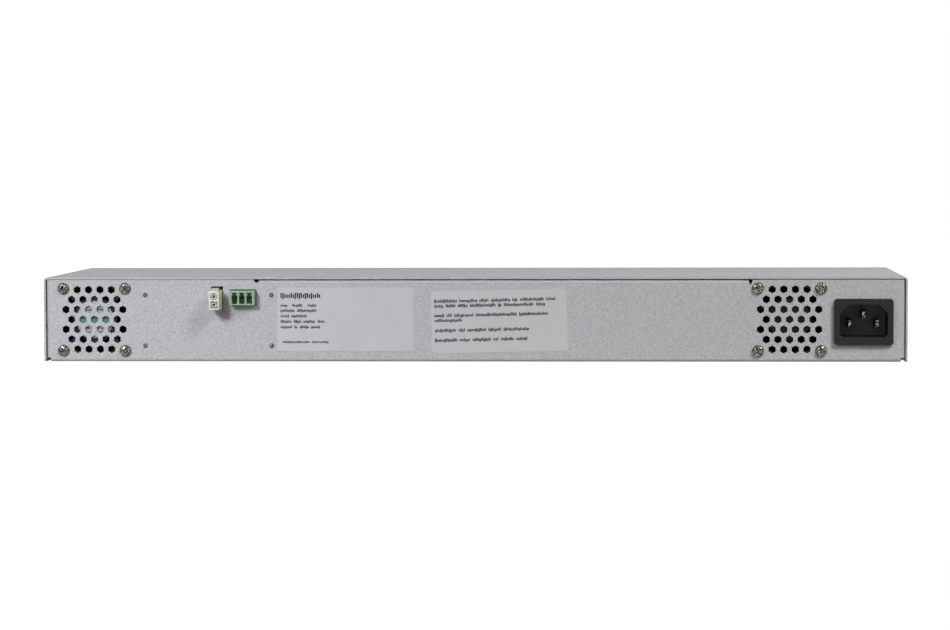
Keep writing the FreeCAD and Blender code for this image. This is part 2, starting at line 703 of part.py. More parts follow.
def fan_blade():
    """One pitched blade, square at its tip, with its root inside the hub's wall."""
    low = FAN_BASE_RECESS + FAN_BASE_THICK + BLADE_EDGE_ROOM
    high = FAN_DEPTH - HUB_END_ROOM - BLADE_EDGE_ROOM / 2.0
    reach = FAN_BORE / 2.0 - FAN_TIP_GAP
    entry = Vector(-BLADE_HALF_CHORD, low, HUB_RADIUS - HUB_WALL)
    leave = Vector(BLADE_HALF_CHORD, high, HUB_RADIUS - HUB_WALL)
    chord = (leave - entry).normalize()
    half = Vector(-chord.y, chord.x, 0) * (BLADE_THICK / 2.0)
    corner = BLADE_HALF_CHORD + half.Length
    tip = math.sqrt(reach * reach - corner * corner) - HUB_RADIUS + HUB_WALL
    return prism([entry - half, leave - half, leave + half, entry + half], ALONG_Z * tip)


def fan_rotor():
    """Hub cup with its blades, moulded in one piece, and a seat for the shaft in its cap."""
    open_end = FAN_BASE_RECESS + FAN_BASE_THICK + HUB_RUNNING_GAP
    cap = FAN_DEPTH - HUB_END_ROOM
    cup = rod(HUB_RADIUS, Vector(0, open_end, 0), Vector(0, cap, 0))
    inside = rod(HUB_RADIUS - HUB_WALL, Vector(0, open_end, 0), Vector(0, cap - HUB_CAP, 0))
    blades = []
    for number in range(BLADE_COUNT):
        blade = fan_blade()
        blade.rotate(Vector(0, 0, 0), ALONG_Y, 360.0 * number / BLADE_COUNT)
        blades.append(blade)
    shaft_seat = rod(SHAFT_RADIUS, Vector(0, cap - HUB_CAP, 0), Vector(0, cap - HUB_CAP + SHAFT_SEAT, 0))
    return joined([cup] + blades).cut(inside.fuse(shaft_seat))


def fan_shaft():
    """Steel shaft, pressed into the hub's cap and running in the sleeve."""
    low = Vector(0, FAN_BASE_RECESS + FAN_BASE_THICK - BEARING_SEAT + SHAFT_END_GAP, 0)
    high = Vector(0, FAN_DEPTH - HUB_END_ROOM - HUB_CAP + SHAFT_SEAT, 0)
    return rod(SHAFT_RADIUS, low, high)


def left_fan_place(shape):
    """Strut side against the rear wall: this fan blows out through its grille."""
    shape.translate(Vector(LEFT_FAN_X, REAR_IN, FAN_Z))
    return shape


def right_fan_place(shape):
    """Rotor side against the rear wall: this fan draws in through its grille."""
    shape.rotate(Vector(0, 0, 0), ALONG_Z, 180.0)
    shape.translate(Vector(RIGHT_FAN_X, REAR_IN + FAN_DEPTH, FAN_Z))
    return shape


def fan_screws():
    """Eight pan-head screws through the rear wall into the corners of the fans."""
    screws = []
    for fan_x in (LEFT_FAN_X, RIGHT_FAN_X):
        for x, z in wall_corners(fan_x, FAN_Z, FAN_HOLE_SPAN, FAN_HOLE_SPAN):
            seat = Vector(x, REAR_Y, z)
            head = rod(PAN_HEAD_RADIUS, seat, seat - ALONG_Y * PAN_HEAD_HEIGHT)
            shank = rod(SCREW_RADIUS, seat, seat + ALONG_Y * FAN_SCREW_LENGTH)
            screws.append(joined([head, shank]))
    return together(screws)


# Output board and its headers

def board_posts():
    """Four posts, clinched flush into the rear wall, whose barbs hold the output board."""
    posts = []
    tip = (OUTPUT_BOARD_BACK, OUTPUT_BOARD_BACK + POST_TIP)
    for x, z in wall_corners(OUTPUT_BOARD_X, OUTPUT_BOARD_Z, POST_SPAN_X, POST_SPAN_Z):
        posts.append(joined([
            block(span(x, POST_FLATS), (REAR_IN, OUTPUT_BOARD_Y), span(z, POST_FLATS)),
            block(span(x, POST_SHANK), (OUTPUT_BOARD_Y, OUTPUT_BOARD_BACK), span(z, POST_SHANK)),
            block(span(x, POST_CATCH), tip, span(z, POST_SHANK)),
        ]))
    return together(posts)


def signal_pin_places():
    """x of each signal pin."""
    middle = (SIGNAL_COUNT - 1) / 2.0
    return [SIGNAL_X + (number - middle) * SIGNAL_PITCH for number in range(SIGNAL_COUNT)]


def power_pin_places():
    """z of each power pin."""
    return [POWER_CENTRE_Z - POWER_PITCH / 2.0, POWER_CENTRE_Z + POWER_PITCH / 2.0]


def output_board():
    """Circuit board behind the rear wall, cut out for its posts and pins."""
    deep = (OUTPUT_BOARD_Y, OUTPUT_BOARD_BACK)
    board = block((OUTPUT_BOARD_LEFT, OUTPUT_BOARD_RIGHT), deep, (OUTPUT_BOARD_LOW, OUTPUT_BOARD_HIGH))
    tools = []
    for x, z in wall_corners(OUTPUT_BOARD_X, OUTPUT_BOARD_Z, POST_SPAN_X, POST_SPAN_Z):
        tools.append(block(span(x, POST_SHANK), deep, span(z, POST_SHANK)))
    for z in power_pin_places():
        tools.append(block(span(POWER_X, POWER_PIN), deep, span(z, POWER_PIN)))
    for x in signal_pin_places():
        tools.append(block(span(x, SIGNAL_PIN), deep, span(SIGNAL_CENTRE_Z, SIGNAL_PIN)))
    return board.cut(together(tools))


def power_header():
    """White housing with a latch ramp on top and two sockets, the upper one with cut corners.

    In the middle of each socket stands a square silo, bored for its pin.
    """
    front = REAR_Y - POWER_PROUD
    z_low, z_high = span(POWER_CENTRE_Z, POWER_HEIGHT)
    body = block(span(POWER_X, POWER_WIDTH), (front, OUTPUT_BOARD_Y), (z_low, z_high))
    side = POWER_X - POWER_LATCH_WIDTH / 2.0
    ramp_start = front + POWER_LATCH_SETBACK
    crest = (ramp_start + POWER_LATCH_LENGTH, ramp_start + POWER_LATCH_LENGTH + POWER_LATCH_CREST)
    profile = [
        Vector(side, ramp_start, z_high),
        Vector(side, crest[0], z_high + POWER_LATCH_RISE),
        Vector(side, crest[1], z_high + POWER_LATCH_RISE),
        Vector(side, crest[1], z_high),
    ]
    ramp = prism(profile, ALONG_X * POWER_LATCH_WIDTH)
    housing = joined([body, ramp])
    deep = (front, front + POWER_SOCKET_DEPTH)
    for number, z in enumerate(power_pin_places()):
        socket = block(span(POWER_X, POWER_SOCKET), deep, span(z, POWER_SOCKET))
        if number == 1:
            socket = socket.makeChamfer(POWER_SOCKET_CHAMFER, edges_along(socket, ALONG_Y))
        silo = block(span(POWER_X, POWER_SILO), (front + POWER_SILO_SETBACK, deep[1]), span(z, POWER_SILO))
        bore = block(span(POWER_X, POWER_SILO_BORE), deep, span(z, POWER_SILO_BORE))
        pin_hole = block(span(POWER_X, POWER_PIN), (front, OUTPUT_BOARD_Y), span(z, POWER_PIN))
        housing = housing.cut(socket.cut(silo)).cut(bore).cut(pin_hole)
    return housing


def power_pins():
    """Two square pins, from inside the sockets through the output board."""
    start = REAR_Y - POWER_PROUD + POWER_PIN_RECESS
    pins = []
    for z in power_pin_places():
        pin = block(span(POWER_X, POWER_PIN), (start, OUTPUT_BOARD_BACK + PIN_TAIL), span(z, POWER_PIN))
        pins.append(pin)
    return together(pins)


def signal_header():
    """Green housing, chamfered along its top front edge, with three keyed slots side by side."""
    front = REAR_Y - SIGNAL_PROUD
    z_low, z_high = span(SIGNAL_CENTRE_Z, SIGNAL_HEIGHT)
    body = block(span(SIGNAL_X, SIGNAL_WIDTH), (front, OUTPUT_BOARD_Y), (z_low, z_high))
    top_front = [
        edge for edge in edges_along(body, ALONG_X)
        if edge.BoundBox.YMax < front + ON_FACE and edge.BoundBox.ZMin > z_high - ON_FACE
    ]
    body = body.makeChamfer(SIGNAL_TOP_CHAMFER, top_front)
    tools = []
    deep = (front, front + SIGNAL_SLOT_DEPTH)
    slot_low = z_low + SIGNAL_SLOT_FLOOR
    slot_high = slot_low + SIGNAL_SLOT_HEIGHT
    neck_high = slot_high + SIGNAL_NECK_HEIGHT
    for x in signal_pin_places():
        tools.append(block(span(x, SIGNAL_SLOT_WIDTH), deep, (slot_low, slot_high)))
        tools.append(block(span(x, SIGNAL_NECK_WIDTH), deep, (slot_high, neck_high)))
        tools.append(block(span(x, SIGNAL_KEY_WIDTH), deep, (neck_high, neck_high + SIGNAL_KEY_HEIGHT)))
        tools.append(block(span(x, SIGNAL_PIN), (front, OUTPUT_BOARD_Y), span(SIGNAL_CENTRE_Z, SIGNAL_PIN)))
    return body.cut(tools[0].fuse(tools[1:]))


def signal_pins():
    """Three square pins, from inside the slots through the output board."""
    start = REAR_Y - SIGNAL_PROUD + SIGNAL_PIN_RECESS
    end = OUTPUT_BOARD_BACK + PIN_TAIL
    z = span(SIGNAL_CENTRE_Z, SIGNAL_PIN)
    return together([block(span(x, SIGNAL_PIN), (start, end), z) for x in signal_pin_places()])


# Mains inlet

def inlet_pin_places():
    """(x, z, recess) of line, neutral and earth."""
    low = INLET_RECESS_Z - LINE_PIN_DROP
    high = INLET_RECESS_Z + EARTH_PIN_RISE
    return [
        (INLET_X - PIN_SPACING / 2.0, low, PIN_RECESS),
        (INLET_X + PIN_SPACING / 2.0, low, PIN_RECESS),
        (INLET_X, high, EARTH_PIN_RECESS),
    ]


def mains_inlet():
    """Snap-in housing: flange, body, two side clips, and the recess with its cut upper corners."""
    front = REAR_Y - INLET_FLANGE_PROUD
    flange = rounded_block(
        span(INLET_X, INLET_FLANGE_WIDTH), (front, REAR_Y), span(INLET_CENTRE_Z, INLET_FLANGE_HEIGHT),
        INLET_FLANGE_CORNER, ALONG_Y
    )
    body = block(
        span(INLET_X, INLET_BODY_WIDTH), (front, INLET_BACK), span(INLET_CENTRE_Z, INLET_BODY_HEIGHT)
    )
    clips = []
    clip_low = INLET_CENTRE_Z - INLET_CLIP_HEIGHT / 2.0
    for side in (-1, 1):
        face = INLET_X + side * INLET_BODY_WIDTH / 2.0
        outline = [
            Vector(face, REAR_IN + INLET_CLIP_GAP, clip_low),
            Vector(face + side * INLET_CLIP_WIDTH, REAR_IN + INLET_CLIP_GAP, clip_low),
            Vector(face, REAR_IN + INLET_CLIP_LENGTH, clip_low),
        ]
        clips.append(prism(outline, ALONG_Z * INLET_CLIP_HEIGHT))
    housing = joined([flange, body] + clips)
    x_low, x_high = span(INLET_X, INLET_RECESS_WIDTH)
    z_low, z_high = span(INLET_RECESS_Z, INLET_RECESS_HEIGHT)
    cut = INLET_RECESS_CHAMFER
    recess = prism(
        [
            Vector(x_low, front, z_low),
            Vector(x_high, front, z_low),
            Vector(x_high, front, z_high - cut),
            Vector(x_high - cut, front, z_high),
            Vector(x_low + cut, front, z_high),
            Vector(x_low, front, z_high - cut),
        ],
        ALONG_Y * INLET_RECESS_DEPTH,
    )
    low_edges = [edge for edge in edges_along(recess, ALONG_Y) if edge.BoundBox.ZMax < z_low + ON_FACE]
    recess = recess.makeFillet(INLET_RECESS_CORNER, low_edges)
    floor = front + INLET_RECESS_DEPTH
    slots = []
    for x, z, _ in inlet_pin_places():
        slots.append(block(span(x, PIN_WIDTH), (floor - OVERCUT, INLET_BACK), span(z, PIN_HEIGHT)))
    return housing.cut(recess).cut(together(slots))


def inlet_pins():
    """Three flat pins with a solder tab at the back of each."""
    front = REAR_Y - INLET_FLANGE_PROUD
    pins = []
    for x, z, pin_recess in inlet_pin_places():
        pin = block(span(x, PIN_WIDTH), (front + pin_recess, INLET_BACK), span(z, PIN_HEIGHT))
        tip_edges = [
            edge for edge in edges_along(pin, ALONG_X) + edges_along(pin, ALONG_Z)
            if edge.BoundBox.YMax < front + pin_recess + ON_FACE
        ]
        pin = pin.makeChamfer(PIN_WIDTH / 4.0, tip_edges)
        tab = block(span(x, TAB_THICK), (INLET_BACK, TAB_END), span(z, TAB_WIDTH))
        pins.append(joined([pin, tab]))
    return together(pins)


# Converter board and what stands on it

def support_places():
    """(x, y) of the six supports under the converter board."""
    places = []
    for x in (BOARD_LEFT + SUPPORT_INSET, BOARD_MID_X, BOARD_RIGHT - SUPPORT_INSET):
        for y in (BOARD_REAR + SUPPORT_INSET, BOARD_FRONT - SUPPORT_INSET):
            places.append((x, y))
    return places


def converter_board():
    """Main circuit board, cut out for the shanks of its supports."""
    thick = (BOARD_UNDER, BOARD_TOP)
    board = block((BOARD_LEFT, BOARD_RIGHT), (BOARD_REAR, BOARD_FRONT), thick)
    holes = [block(span(x, POST_SHANK), span(y, POST_SHANK), thick) for x, y in support_places()]
    return board.cut(together(holes))


def board_supports():
    """Six moulded supports on the bottom, whose barbs hold the converter board down."""
    supports = []
    for x, y in support_places():
        supports.append(joined([
            block(span(x, SUPPORT_WIDTH), span(y, SUPPORT_WIDTH), (BASE_SHEET, BOARD_UNDER)),
            block(span(x, POST_SHANK), span(y, POST_SHANK), (BOARD_UNDER, BOARD_TOP)),
            block(span(x, POST_CATCH), span(y, POST_SHANK), (BOARD_TOP, BOARD_TOP + POST_TIP)),
        ]))
    return together(supports)


def insulating_sheet():
    """Plastic sheet on the bottom under the converter board, cut out round the supports."""
    border = INSULATOR_BORDER
    thick = (BASE_SHEET, BASE_SHEET + INSULATOR_THICK)
    sheet = block(
        (BOARD_LEFT - border, BOARD_RIGHT + border), (BOARD_REAR - border, BOARD_FRONT + border), thick
    )
    width = SUPPORT_WIDTH + 2.0 * INSULATOR_HOLE_GAP
    holes = [block(span(x, width), span(y, width), thick) for x, y in support_places()]
    return sheet.cut(together(holes))


def terminal_entries():
    """y of each lead entry of a terminal block."""
    rear = BOARD_REAR + TERMINAL_BACK
    return [rear + (pole + 0.5) * TERMINAL_POLE for pole in range(TERMINAL_POLES)]


def terminal_block(face, side):
    """Terminal block whose entries look towards side, from its face at x."""
    back = face - side * TERMINAL_WIDTH
    rear = BOARD_REAR + TERMINAL_BACK
    body = block(
        (min(face, back), max(face, back)), (rear, rear + TERMINAL_POLES * TERMINAL_POLE),
        (BOARD_TOP, BOARD_TOP + TERMINAL_HEIGHT)
    )
    entry_end = face - side * TERMINAL_ENTRY_DEPTH
    entry_x = (min(face, entry_end), max(face, entry_end))
    level = span(LEAD_Z, TERMINAL_ENTRY)
    return body.cut(together([block(entry_x, span(y, TERMINAL_ENTRY), level) for y in terminal_entries()]))


def input_terminals():
    """Two-pole block at the right edge."""
    return terminal_block(BOARD_RIGHT - TERMINAL_EDGE, 1)


def output_terminals():
    """Two-pole block at the left edge."""
    return terminal_block(BOARD_LEFT + TERMINAL_EDGE, -1)


def fuse_axis():
    """Start of the fuse, which lies along Y beside the input terminals."""
    x = BOARD_RIGHT - FUSE_SETBACK
    return Vector(x, BOARD_REAR + TERMINAL_BACK, BOARD_TOP + FUSE_LIFT + FUSE_RADIUS)


def input_fuse():
    """Cartridge fuse."""
    start = fuse_axis()
    return rod(FUSE_RADIUS, start, start + ALONG_Y * FUSE_LENGTH)


def fuse_clips():
    """Two sprung clips that hold the ends of the fuse on the board."""
    start = fuse_axis()
    clips = []
    for middle in (FUSE_CAP_LENGTH / 2.0, FUSE_LENGTH - FUSE_CAP_LENGTH / 2.0):
        y = span(start.y + middle, FUSE_CAP_LENGTH - 2.0 * CLIP_SHEET)
        outer = 2.0 * (FUSE_RADIUS + CLIP_SHEET)
        body = block(span(start.x, outer), y, (BOARD_TOP, start.z + FUSE_RADIUS / 2.0))
        mouth = block(span(start.x, 2.0 * FUSE_RADIUS), y, (start.z - FUSE_RADIUS, start.z + FUSE_RADIUS))
        clips.append(body.cut(mouth))
    return together(clips)


def choke_box():
    """Ranges (x, y) of the line filter choke, in front of the fuse."""
    x = (BOARD_RIGHT - TERMINAL_EDGE - CHOKE_WIDTH, BOARD_RIGHT - TERMINAL_EDGE)
    y_low = BOARD_REAR + TERMINAL_BACK + FUSE_LENGTH + CHOKE_FROM_FUSE
    return x, (y_low, y_low + CHOKE_LENGTH)


def choke_limb_levels():
    """Height of the middle of each long limb of the choke's core."""
    return BOARD_TOP + CHOKE_COIL / 2.0, BOARD_TOP + CHOKE_HEIGHT - CHOKE_COIL / 2.0


def filter_core():
    """Closed ferrite frame of the line filter choke."""
    x, y = choke_box()
    limb = CHOKE_LIMB
    low, high = choke_limb_levels()
    thick = span(sum(x) / 2.0, limb)
    frame = block(thick, y, (low - limb / 2.0, high + limb / 2.0))
    return frame.cut(block(thick, (y[0] + limb, y[1] - limb), (low + limb / 2.0, high - limb / 2.0)))


def filter_windings():
    """Two coils on the long limbs of the line filter core."""
    x, y = choke_box()
    along = (y[0] + CHOKE_LIMB, y[1] - CHOKE_LIMB)
    middle = sum(x) / 2.0
    coils = []
    for level in choke_limb_levels():
        coil = eased_block(span(middle, CHOKE_COIL), along, span(level, CHOKE_COIL), CHOKE_COIL_EDGE, ALONG_Y)
        coils.append(coil.cut(block(span(middle, CHOKE_LIMB), along, span(level, CHOKE_LIMB))))
    return together(coils)


def filter_capacitor():
    """Boxed film capacitor beside the fuse."""
    high_x = BOARD_RIGHT - TERMINAL_EDGE - CHOKE_WIDTH - FILM_GAP
    y_low = BOARD_REAR + TERMINAL_BACK
    return eased_block(
        (high_x - FILM_WIDTH, high_x), (y_low, y_low + FILM_LENGTH),
        (BOARD_TOP, BOARD_TOP + FILM_HEIGHT), FILM_EDGE, ALONG_Z
    )


def can(x, y, radius, height):
    """Upright electrolytic capacitor."""
    low = Vector(x, y, BOARD_TOP)
    return rod(radius, low, low + ALONG_Z * height)


def bulk_capacitor():
    """Large capacitor of the mains side, behind the fuse."""
    return can(BOARD_RIGHT - BULK_SETBACK, BOARD_REAR + BULK_BACK, BULK_RADIUS, BULK_HEIGHT)


def heatsink(plate_x, fin_side):
    """Extruded heatsink standing along Y, with fins on one side."""
    plate = block(
        (plate_x, plate_x + HEATSINK_PLATE), span(BOARD_MID_Y, HEATSINK_LENGTH),
        (BOARD_TOP, BOARD_TOP + HEATSINK_HEIGHT)
    )
    if fin_side > 0:
        fin_x = (plate_x + HEATSINK_PLATE, plate_x + HEATSINK_PLATE + HEATSINK_FIN_REACH)
    else:
        fin_x = (plate_x - HEATSINK_FIN_REACH, plate_x)
    fins = []
    pitch = (HEATSINK_HEIGHT - HEATSINK_FIN) / (HEATSINK_FIN_COUNT - 1)
    for number in range(HEATSINK_FIN_COUNT):
        low = BOARD_TOP + number * pitch
        fins.append(block(fin_x, span(BOARD_MID_Y, HEATSINK_LENGTH), (low, low + HEATSINK_FIN)))
    return joined([plate] + fins)


def primary_sink_x():
    """Left face of the primary heatsink's plate."""
    return BOARD_RIGHT - PRIMARY_SINK_SETBACK


def secondary_sink_x():
    """Left face of the secondary heatsink's plate."""
    return transformer_middle()[0] - CORE_WIDTH / 2.0 - CORE_SIDE_ROOM - HEATSINK_FIN_REACH - HEATSINK_PLATE


def primary_heatsink():
    """Heatsink of the mains side, fins towards the transformer."""
    return heatsink(primary_sink_x(), -1)


def secondary_heatsink():
    """Heatsink of the output side, fins towards the transformer."""
    return heatsink(secondary_sink_x(), 1)


def package(x, y_centre, width, height):
    """Flat power package upright against a heatsink, on its legs."""
    low = BOARD_TOP + PACKAGE_LIFT
    body = block(x, span(y_centre, width), (low, low + height))
    pieces = [body]
    middle = sum(x) / 2.0
    for step in (-1, 0, 1):
        leg_y = span(y_centre + step * width / 3.0, PACKAGE_LEG)
        pieces.append(block(span(middle, PACKAGE_LEG), leg_y, (BOARD_TOP, low)))
    return joined(pieces)


def bridge_rectifier():
    """Rectifier on the mains-side heatsink."""
    face = primary_sink_x() + HEATSINK_PLATE
    y = BOARD_MID_Y - HEATSINK_LENGTH / 2.0 + BRIDGE_WIDTH / 2.0
    return package((face, face + PACKAGE_THICK), y, BRIDGE_WIDTH, BRIDGE_HEIGHT)


def power_transistors():
    """Two rectifiers on the secondary heatsink and the switching transistor on the primary one."""
    face = secondary_sink_x()
    rear = BOARD_MID_Y - HEATSINK_LENGTH / 2.0
    front = BOARD_MID_Y + HEATSINK_LENGTH / 2.0
    pieces = []
    for y in (rear + PACKAGE_WIDTH, front - PACKAGE_WIDTH):
        pieces.append(package((face - PACKAGE_THICK, face), y, PACKAGE_WIDTH, PACKAGE_HEIGHT))
    face = primary_sink_x() + HEATSINK_PLATE
    y = front - PACKAGE_WIDTH / 2.0
    pieces.append(package((face, face + PACKAGE_THICK), y, PACKAGE_WIDTH, PACKAGE_HEIGHT))
    return together(pieces)


def transformer_middle():
    """Centre (x, y) of the transformer, beside the primary heatsink's fins."""
    return primary_sink_x() - HEATSINK_FIN_REACH - CORE_SIDE_ROOM - CORE_WIDTH / 2.0, BOARD_MID_Y


def transformer_core():
    """Two ferrite E halves, glued together, with the centre leg along Y."""
    x, y = transformer_middle()
    low = BOARD_TOP + BOBBIN_LIFT
    body = block(span(x, CORE_WIDTH), span(y, CORE_LENGTH), (low, low + CORE_HEIGHT))
    window_y = span(y, CORE_LENGTH - 2.0 * CORE_LEG)
    windows = []
    for side in (-1, 1):
        inner = x + side * CORE_CENTRE_LEG / 2.0
        outer = x + side * (CORE_WIDTH / 2.0 - CORE_LEG)
        windows.append(block((min(inner, outer), max(inner, outer)), window_y, (low, low + CORE_HEIGHT)))
    return body.cut(together(windows))


def transformer_winding():
    """Bobbin with its taped winding round the centre leg, and its feet on the board."""
    x, y = transformer_middle()
    low = BOARD_TOP + BOBBIN_LIFT
    length = CORE_LENGTH - 2.0 * CORE_LEG
    outer_x = CORE_WIDTH - 2.0 * CORE_LEG - 2.0 * WINDING_ROOM
    rise = (outer_x - CORE_CENTRE_LEG) / 2.0 - WINDING_EDGE
    coil = eased_block(
        span(x, outer_x), span(y, length - 2.0 * BOBBIN_THICK), (low - rise, low + CORE_HEIGHT + rise),
        WINDING_EDGE, ALONG_Y
    )
    cheeks = []
    for side in (-1, 1):
        edge = y + side * length / 2.0
        inner = edge - side * BOBBIN_THICK
        cheeks.append(block(
            span(x, outer_x), (min(edge, inner), max(edge, inner)), (BOARD_TOP, low + CORE_HEIGHT + rise)
        ))
    leg = block(span(x, CORE_CENTRE_LEG), span(y, length), (low, low + CORE_HEIGHT))
    return joined([coil] + cheeks).cut(leg)


def output_inductor():
    """Potted inductor in front of the output capacitors."""
    x = span(BOARD_LEFT + INDUCTOR_SETBACK, INDUCTOR_SIZE)
    y_high = BOARD_FRONT - INDUCTOR_EDGE - INDUCTOR_FRONT_ROOM
    return eased_block(
        x, (y_high - INDUCTOR_SIZE, y_high), (BOARD_TOP, BOARD_TOP + INDUCTOR_HEIGHT), INDUCTOR_EDGE, ALONG_Z
    )


def output_capacitors():
    """Capacitors in a row between the output terminals and the secondary heatsink."""
    x = BOARD_LEFT + OUTPUT_CAN_SETBACK
    cans = []
    for number in range(OUTPUT_CAN_COUNT):
        y = BOARD_MID_Y + (number - (OUTPUT_CAN_COUNT - 1) / 2.0) * OUTPUT_CAN_PITCH
        cans.append(can(x, y, OUTPUT_CAN_RADIUS, OUTPUT_CAN_HEIGHT))
    return together(cans)


def fan_plug_places():
    """(face x, side) of the two fan plugs: where each lead comes in, and which way the face looks."""
    return [(BOARD_LEFT + FAN_PLUG_EDGE, -1), (BOARD_RIGHT - FAN_PLUG_EDGE, 1)]


def fan_plugs():
    """Two small plugs in the board, one for each fan's lead."""
    plugs = []
    for face, side in fan_plug_places():
        back = face - side * FAN_PLUG_WIDTH
        plugs.append(block(
            (min(face, back), max(face, back)), span(BOARD_REAR + FAN_PLUG_BACK, FAN_PLUG_LENGTH),
            (BOARD_TOP, BOARD_TOP + FAN_PLUG_HEIGHT)
        ))
    return together(plugs)


# Leads: straight runs joined by tangent arcs, from the piece where each starts to the piece where it ends

def lead(name, points, section, place, normal):
    """Flat lead laid in one plane; each arc is as large as its two runs allow.

    The route is a list of (u, v) points, section is the size in the plane and across it, place(u, v)
    puts a point in space, and normal is the direction across the plane.
    """
    thick, wide = section
    route = [Vector(u, v, 0) for u, v in points]
    ways = [(b - a).normalize() for a, b in zip(route, route[1:])]
    lefts = [Vector(-way.y, way.x, 0) * (thick / 2.0) for way in ways]
    length = 0.0
    radii = []
    sides = {1: [], -1: []}
    at = route[0]
    for number in range(1, len(route) - 1):
        before, after = ways[number - 1], ways[number]
        turn = before.getAngle(after)
        shorter = min((route[number] - route[number - 1]).Length, (route[number + 1] - route[number]).Length)
        reach = LEAD_BEND_SHARE * shorter
        radius = reach / math.tan(turn / 2.0)
        radii.append(radius)
        arrive = route[number] - before * reach
        leave = route[number] + after * reach
        inward = (after - before).normalize()
        centre = route[number] + inward * (radius / math.cos(turn / 2.0))
        for side, edges in sides.items():
            first = arrive + lefts[number - 1] * side
            last = leave + lefts[number] * side
            middle = centre - inward * (first - centre).Length
            edges.append(Part.LineSegment(place(at + lefts[number - 1] * side), place(first)).toShape())
            edges.append(Part.Arc(place(first), place(middle), place(last)).toShape())
        length += (arrive - at).Length + radius * turn
        at = leave
    for side, edges in sides.items():
        start, end = at + lefts[-1] * side, route[-1] + lefts[-1] * side
        edges.append(Part.LineSegment(place(start), place(end)).toShape())
    length += (route[-1] - at).Length
    first_cap = Part.LineSegment(place(route[0] - lefts[0]), place(route[0] + lefts[0])).toShape()
    last_cap = Part.LineSegment(place(route[-1] + lefts[-1]), place(route[-1] - lefts[-1])).toShape()
    outline = Part.Wire([first_cap] + sides[1] + [last_cap] + sides[-1][::-1])
    strip = Part.Face(outline).extrude(normal * wide)
    strip.translate(normal * (-wide / 2.0))
    share = strip.Volume / (thick * wide * length)
    shown = ", ".join("%.1f" % radius for radius in radii)
    print("%s: %.0f mm, radii %s, volume share %.4f" % (name, length, shown, share))
    return strip


def level_lead(name, points, section, z):
    """Lead laid in a level plane at height z."""
    return lead(name, points, section, lambda p: Vector(p.x, p.y, z), ALONG_Z)


def mains_leads():
    """Line and neutral, from the inlet's tabs round the right fan to the input terminals."""
    entry_end = BOARD_RIGHT - TERMINAL_EDGE - TERMINAL_ENTRY_DEPTH
    leads = []
    for number, y in enumerate(terminal_entries()):
        x = inlet_pin_places()[number][0]
        route = [(x, TAB_END), (x, y), (entry_end, y)]
        leads.append(level_lead("mains lead", route, MAINS_LEAD, LEAD_Z))
    return together(leads)


def earth_tab():
    """Folded blade, welded to the bottom by its foot."""
    outline = [
        (EARTH_TAB_Y - EARTH_TAB_SHEET / 2.0, BASE_SHEET + EARTH_TAB_HEIGHT),
        (EARTH_TAB_Y - EARTH_TAB_SHEET / 2.0, BASE_SHEET),
        (EARTH_TAB_Y + EARTH_TAB_FOOT, BASE_SHEET),
    ]
    x_low = INLET_X - EARTH_TAB_WIDTH / 2.0
    return folded_sheet(
        outline, EARTH_TAB_SHEET, EARTH_TAB_BEND, lambda p: Vector(x_low, p.x, p.y), ALONG_X * EARTH_TAB_WIDTH
    )


def earth_lead():
    """Earth lead with its push-on receptacle, from the inlet's top tab down to the earth tab."""
    x, z, _ = inlet_pin_places()[2]
    blade_top = BASE_SHEET + EARTH_TAB_HEIGHT
    top = blade_top + RECEPTACLE_WALL
    low = top - RECEPTACLE_LENGTH
    walls = 2.0 * RECEPTACLE_WALL
    shell = block(span(x, EARTH_TAB_WIDTH + walls), span(EARTH_TAB_Y, EARTH_TAB_SHEET + walls), (low, top))
    slot = block(span(x, EARTH_TAB_WIDTH), span(EARTH_TAB_Y, EARTH_TAB_SHEET), (low, blade_top))
    route = [(TAB_END, z), (EARTH_TAB_Y, z), (EARTH_TAB_Y, top)]
    strip = lead("earth lead", route, MAINS_LEAD, lambda p: Vector(x, p.x, p.y), ALONG_X)
    return joined([strip, shell.cut(slot)])


def output_leads():
    """Plus and minus, from the output terminals to the back of the output board."""
    entry_end = BOARD_LEFT + TERMINAL_EDGE + TERMINAL_ENTRY_DEPTH
    leads = []
    for number, y in enumerate(terminal_entries()):
        x = BOARD_LEFT - OUTPUT_LEAD_RUN - OUTPUT_LEAD_STEP * number
        route = [(entry_end, y), (x, y), (x, OUTPUT_BOARD_BACK)]
        leads.append(level_lead("output lead", route, OUTPUT_LEAD, LEAD_Z))
    return together(leads)


def fan_lead(name, number, frame_face, run):
    """Sleeved pair from the side of a fan's frame to its plug."""
    face, side = fan_plug_places()[number]
    plug_y = BOARD_REAR + FAN_PLUG_BACK
    start_y = plug_y - FAN_LEAD_SHIFT
    route = [
        (frame_face, start_y),
        (frame_face - side * run, start_y),
        (face + side * run, plug_y),
        (face, plug_y),
    ]
    return level_lead(name, route, FAN_LEAD, BOARD_TOP + FAN_PLUG_HEIGHT / 2.0)


def left_fan_lead():
    """Lead of the left fan, under the output leads."""
    return fan_lead("left fan lead", 0, LEFT_FAN_X + FAN_SIZE / 2.0, LEFT_FAN_LEAD_RUN)


def right_fan_lead():
    """Lead of the right fan."""
    return fan_lead("right fan lead", 1, RIGHT_FAN_X - FAN_SIZE / 2.0, RIGHT_FAN_LEAD_RUN)


# Stickers and lamp

def rating_sticker():
    """Square-cornered sticker beside the headers."""
    thick = (REAR_Y - STICKER_THICK, REAR_Y)
    return block((RATING_X, RATING_X + RATING_WIDTH), thick, (RATING_LOW_Z, RATING_LOW_Z + RATING_HEIGHT))


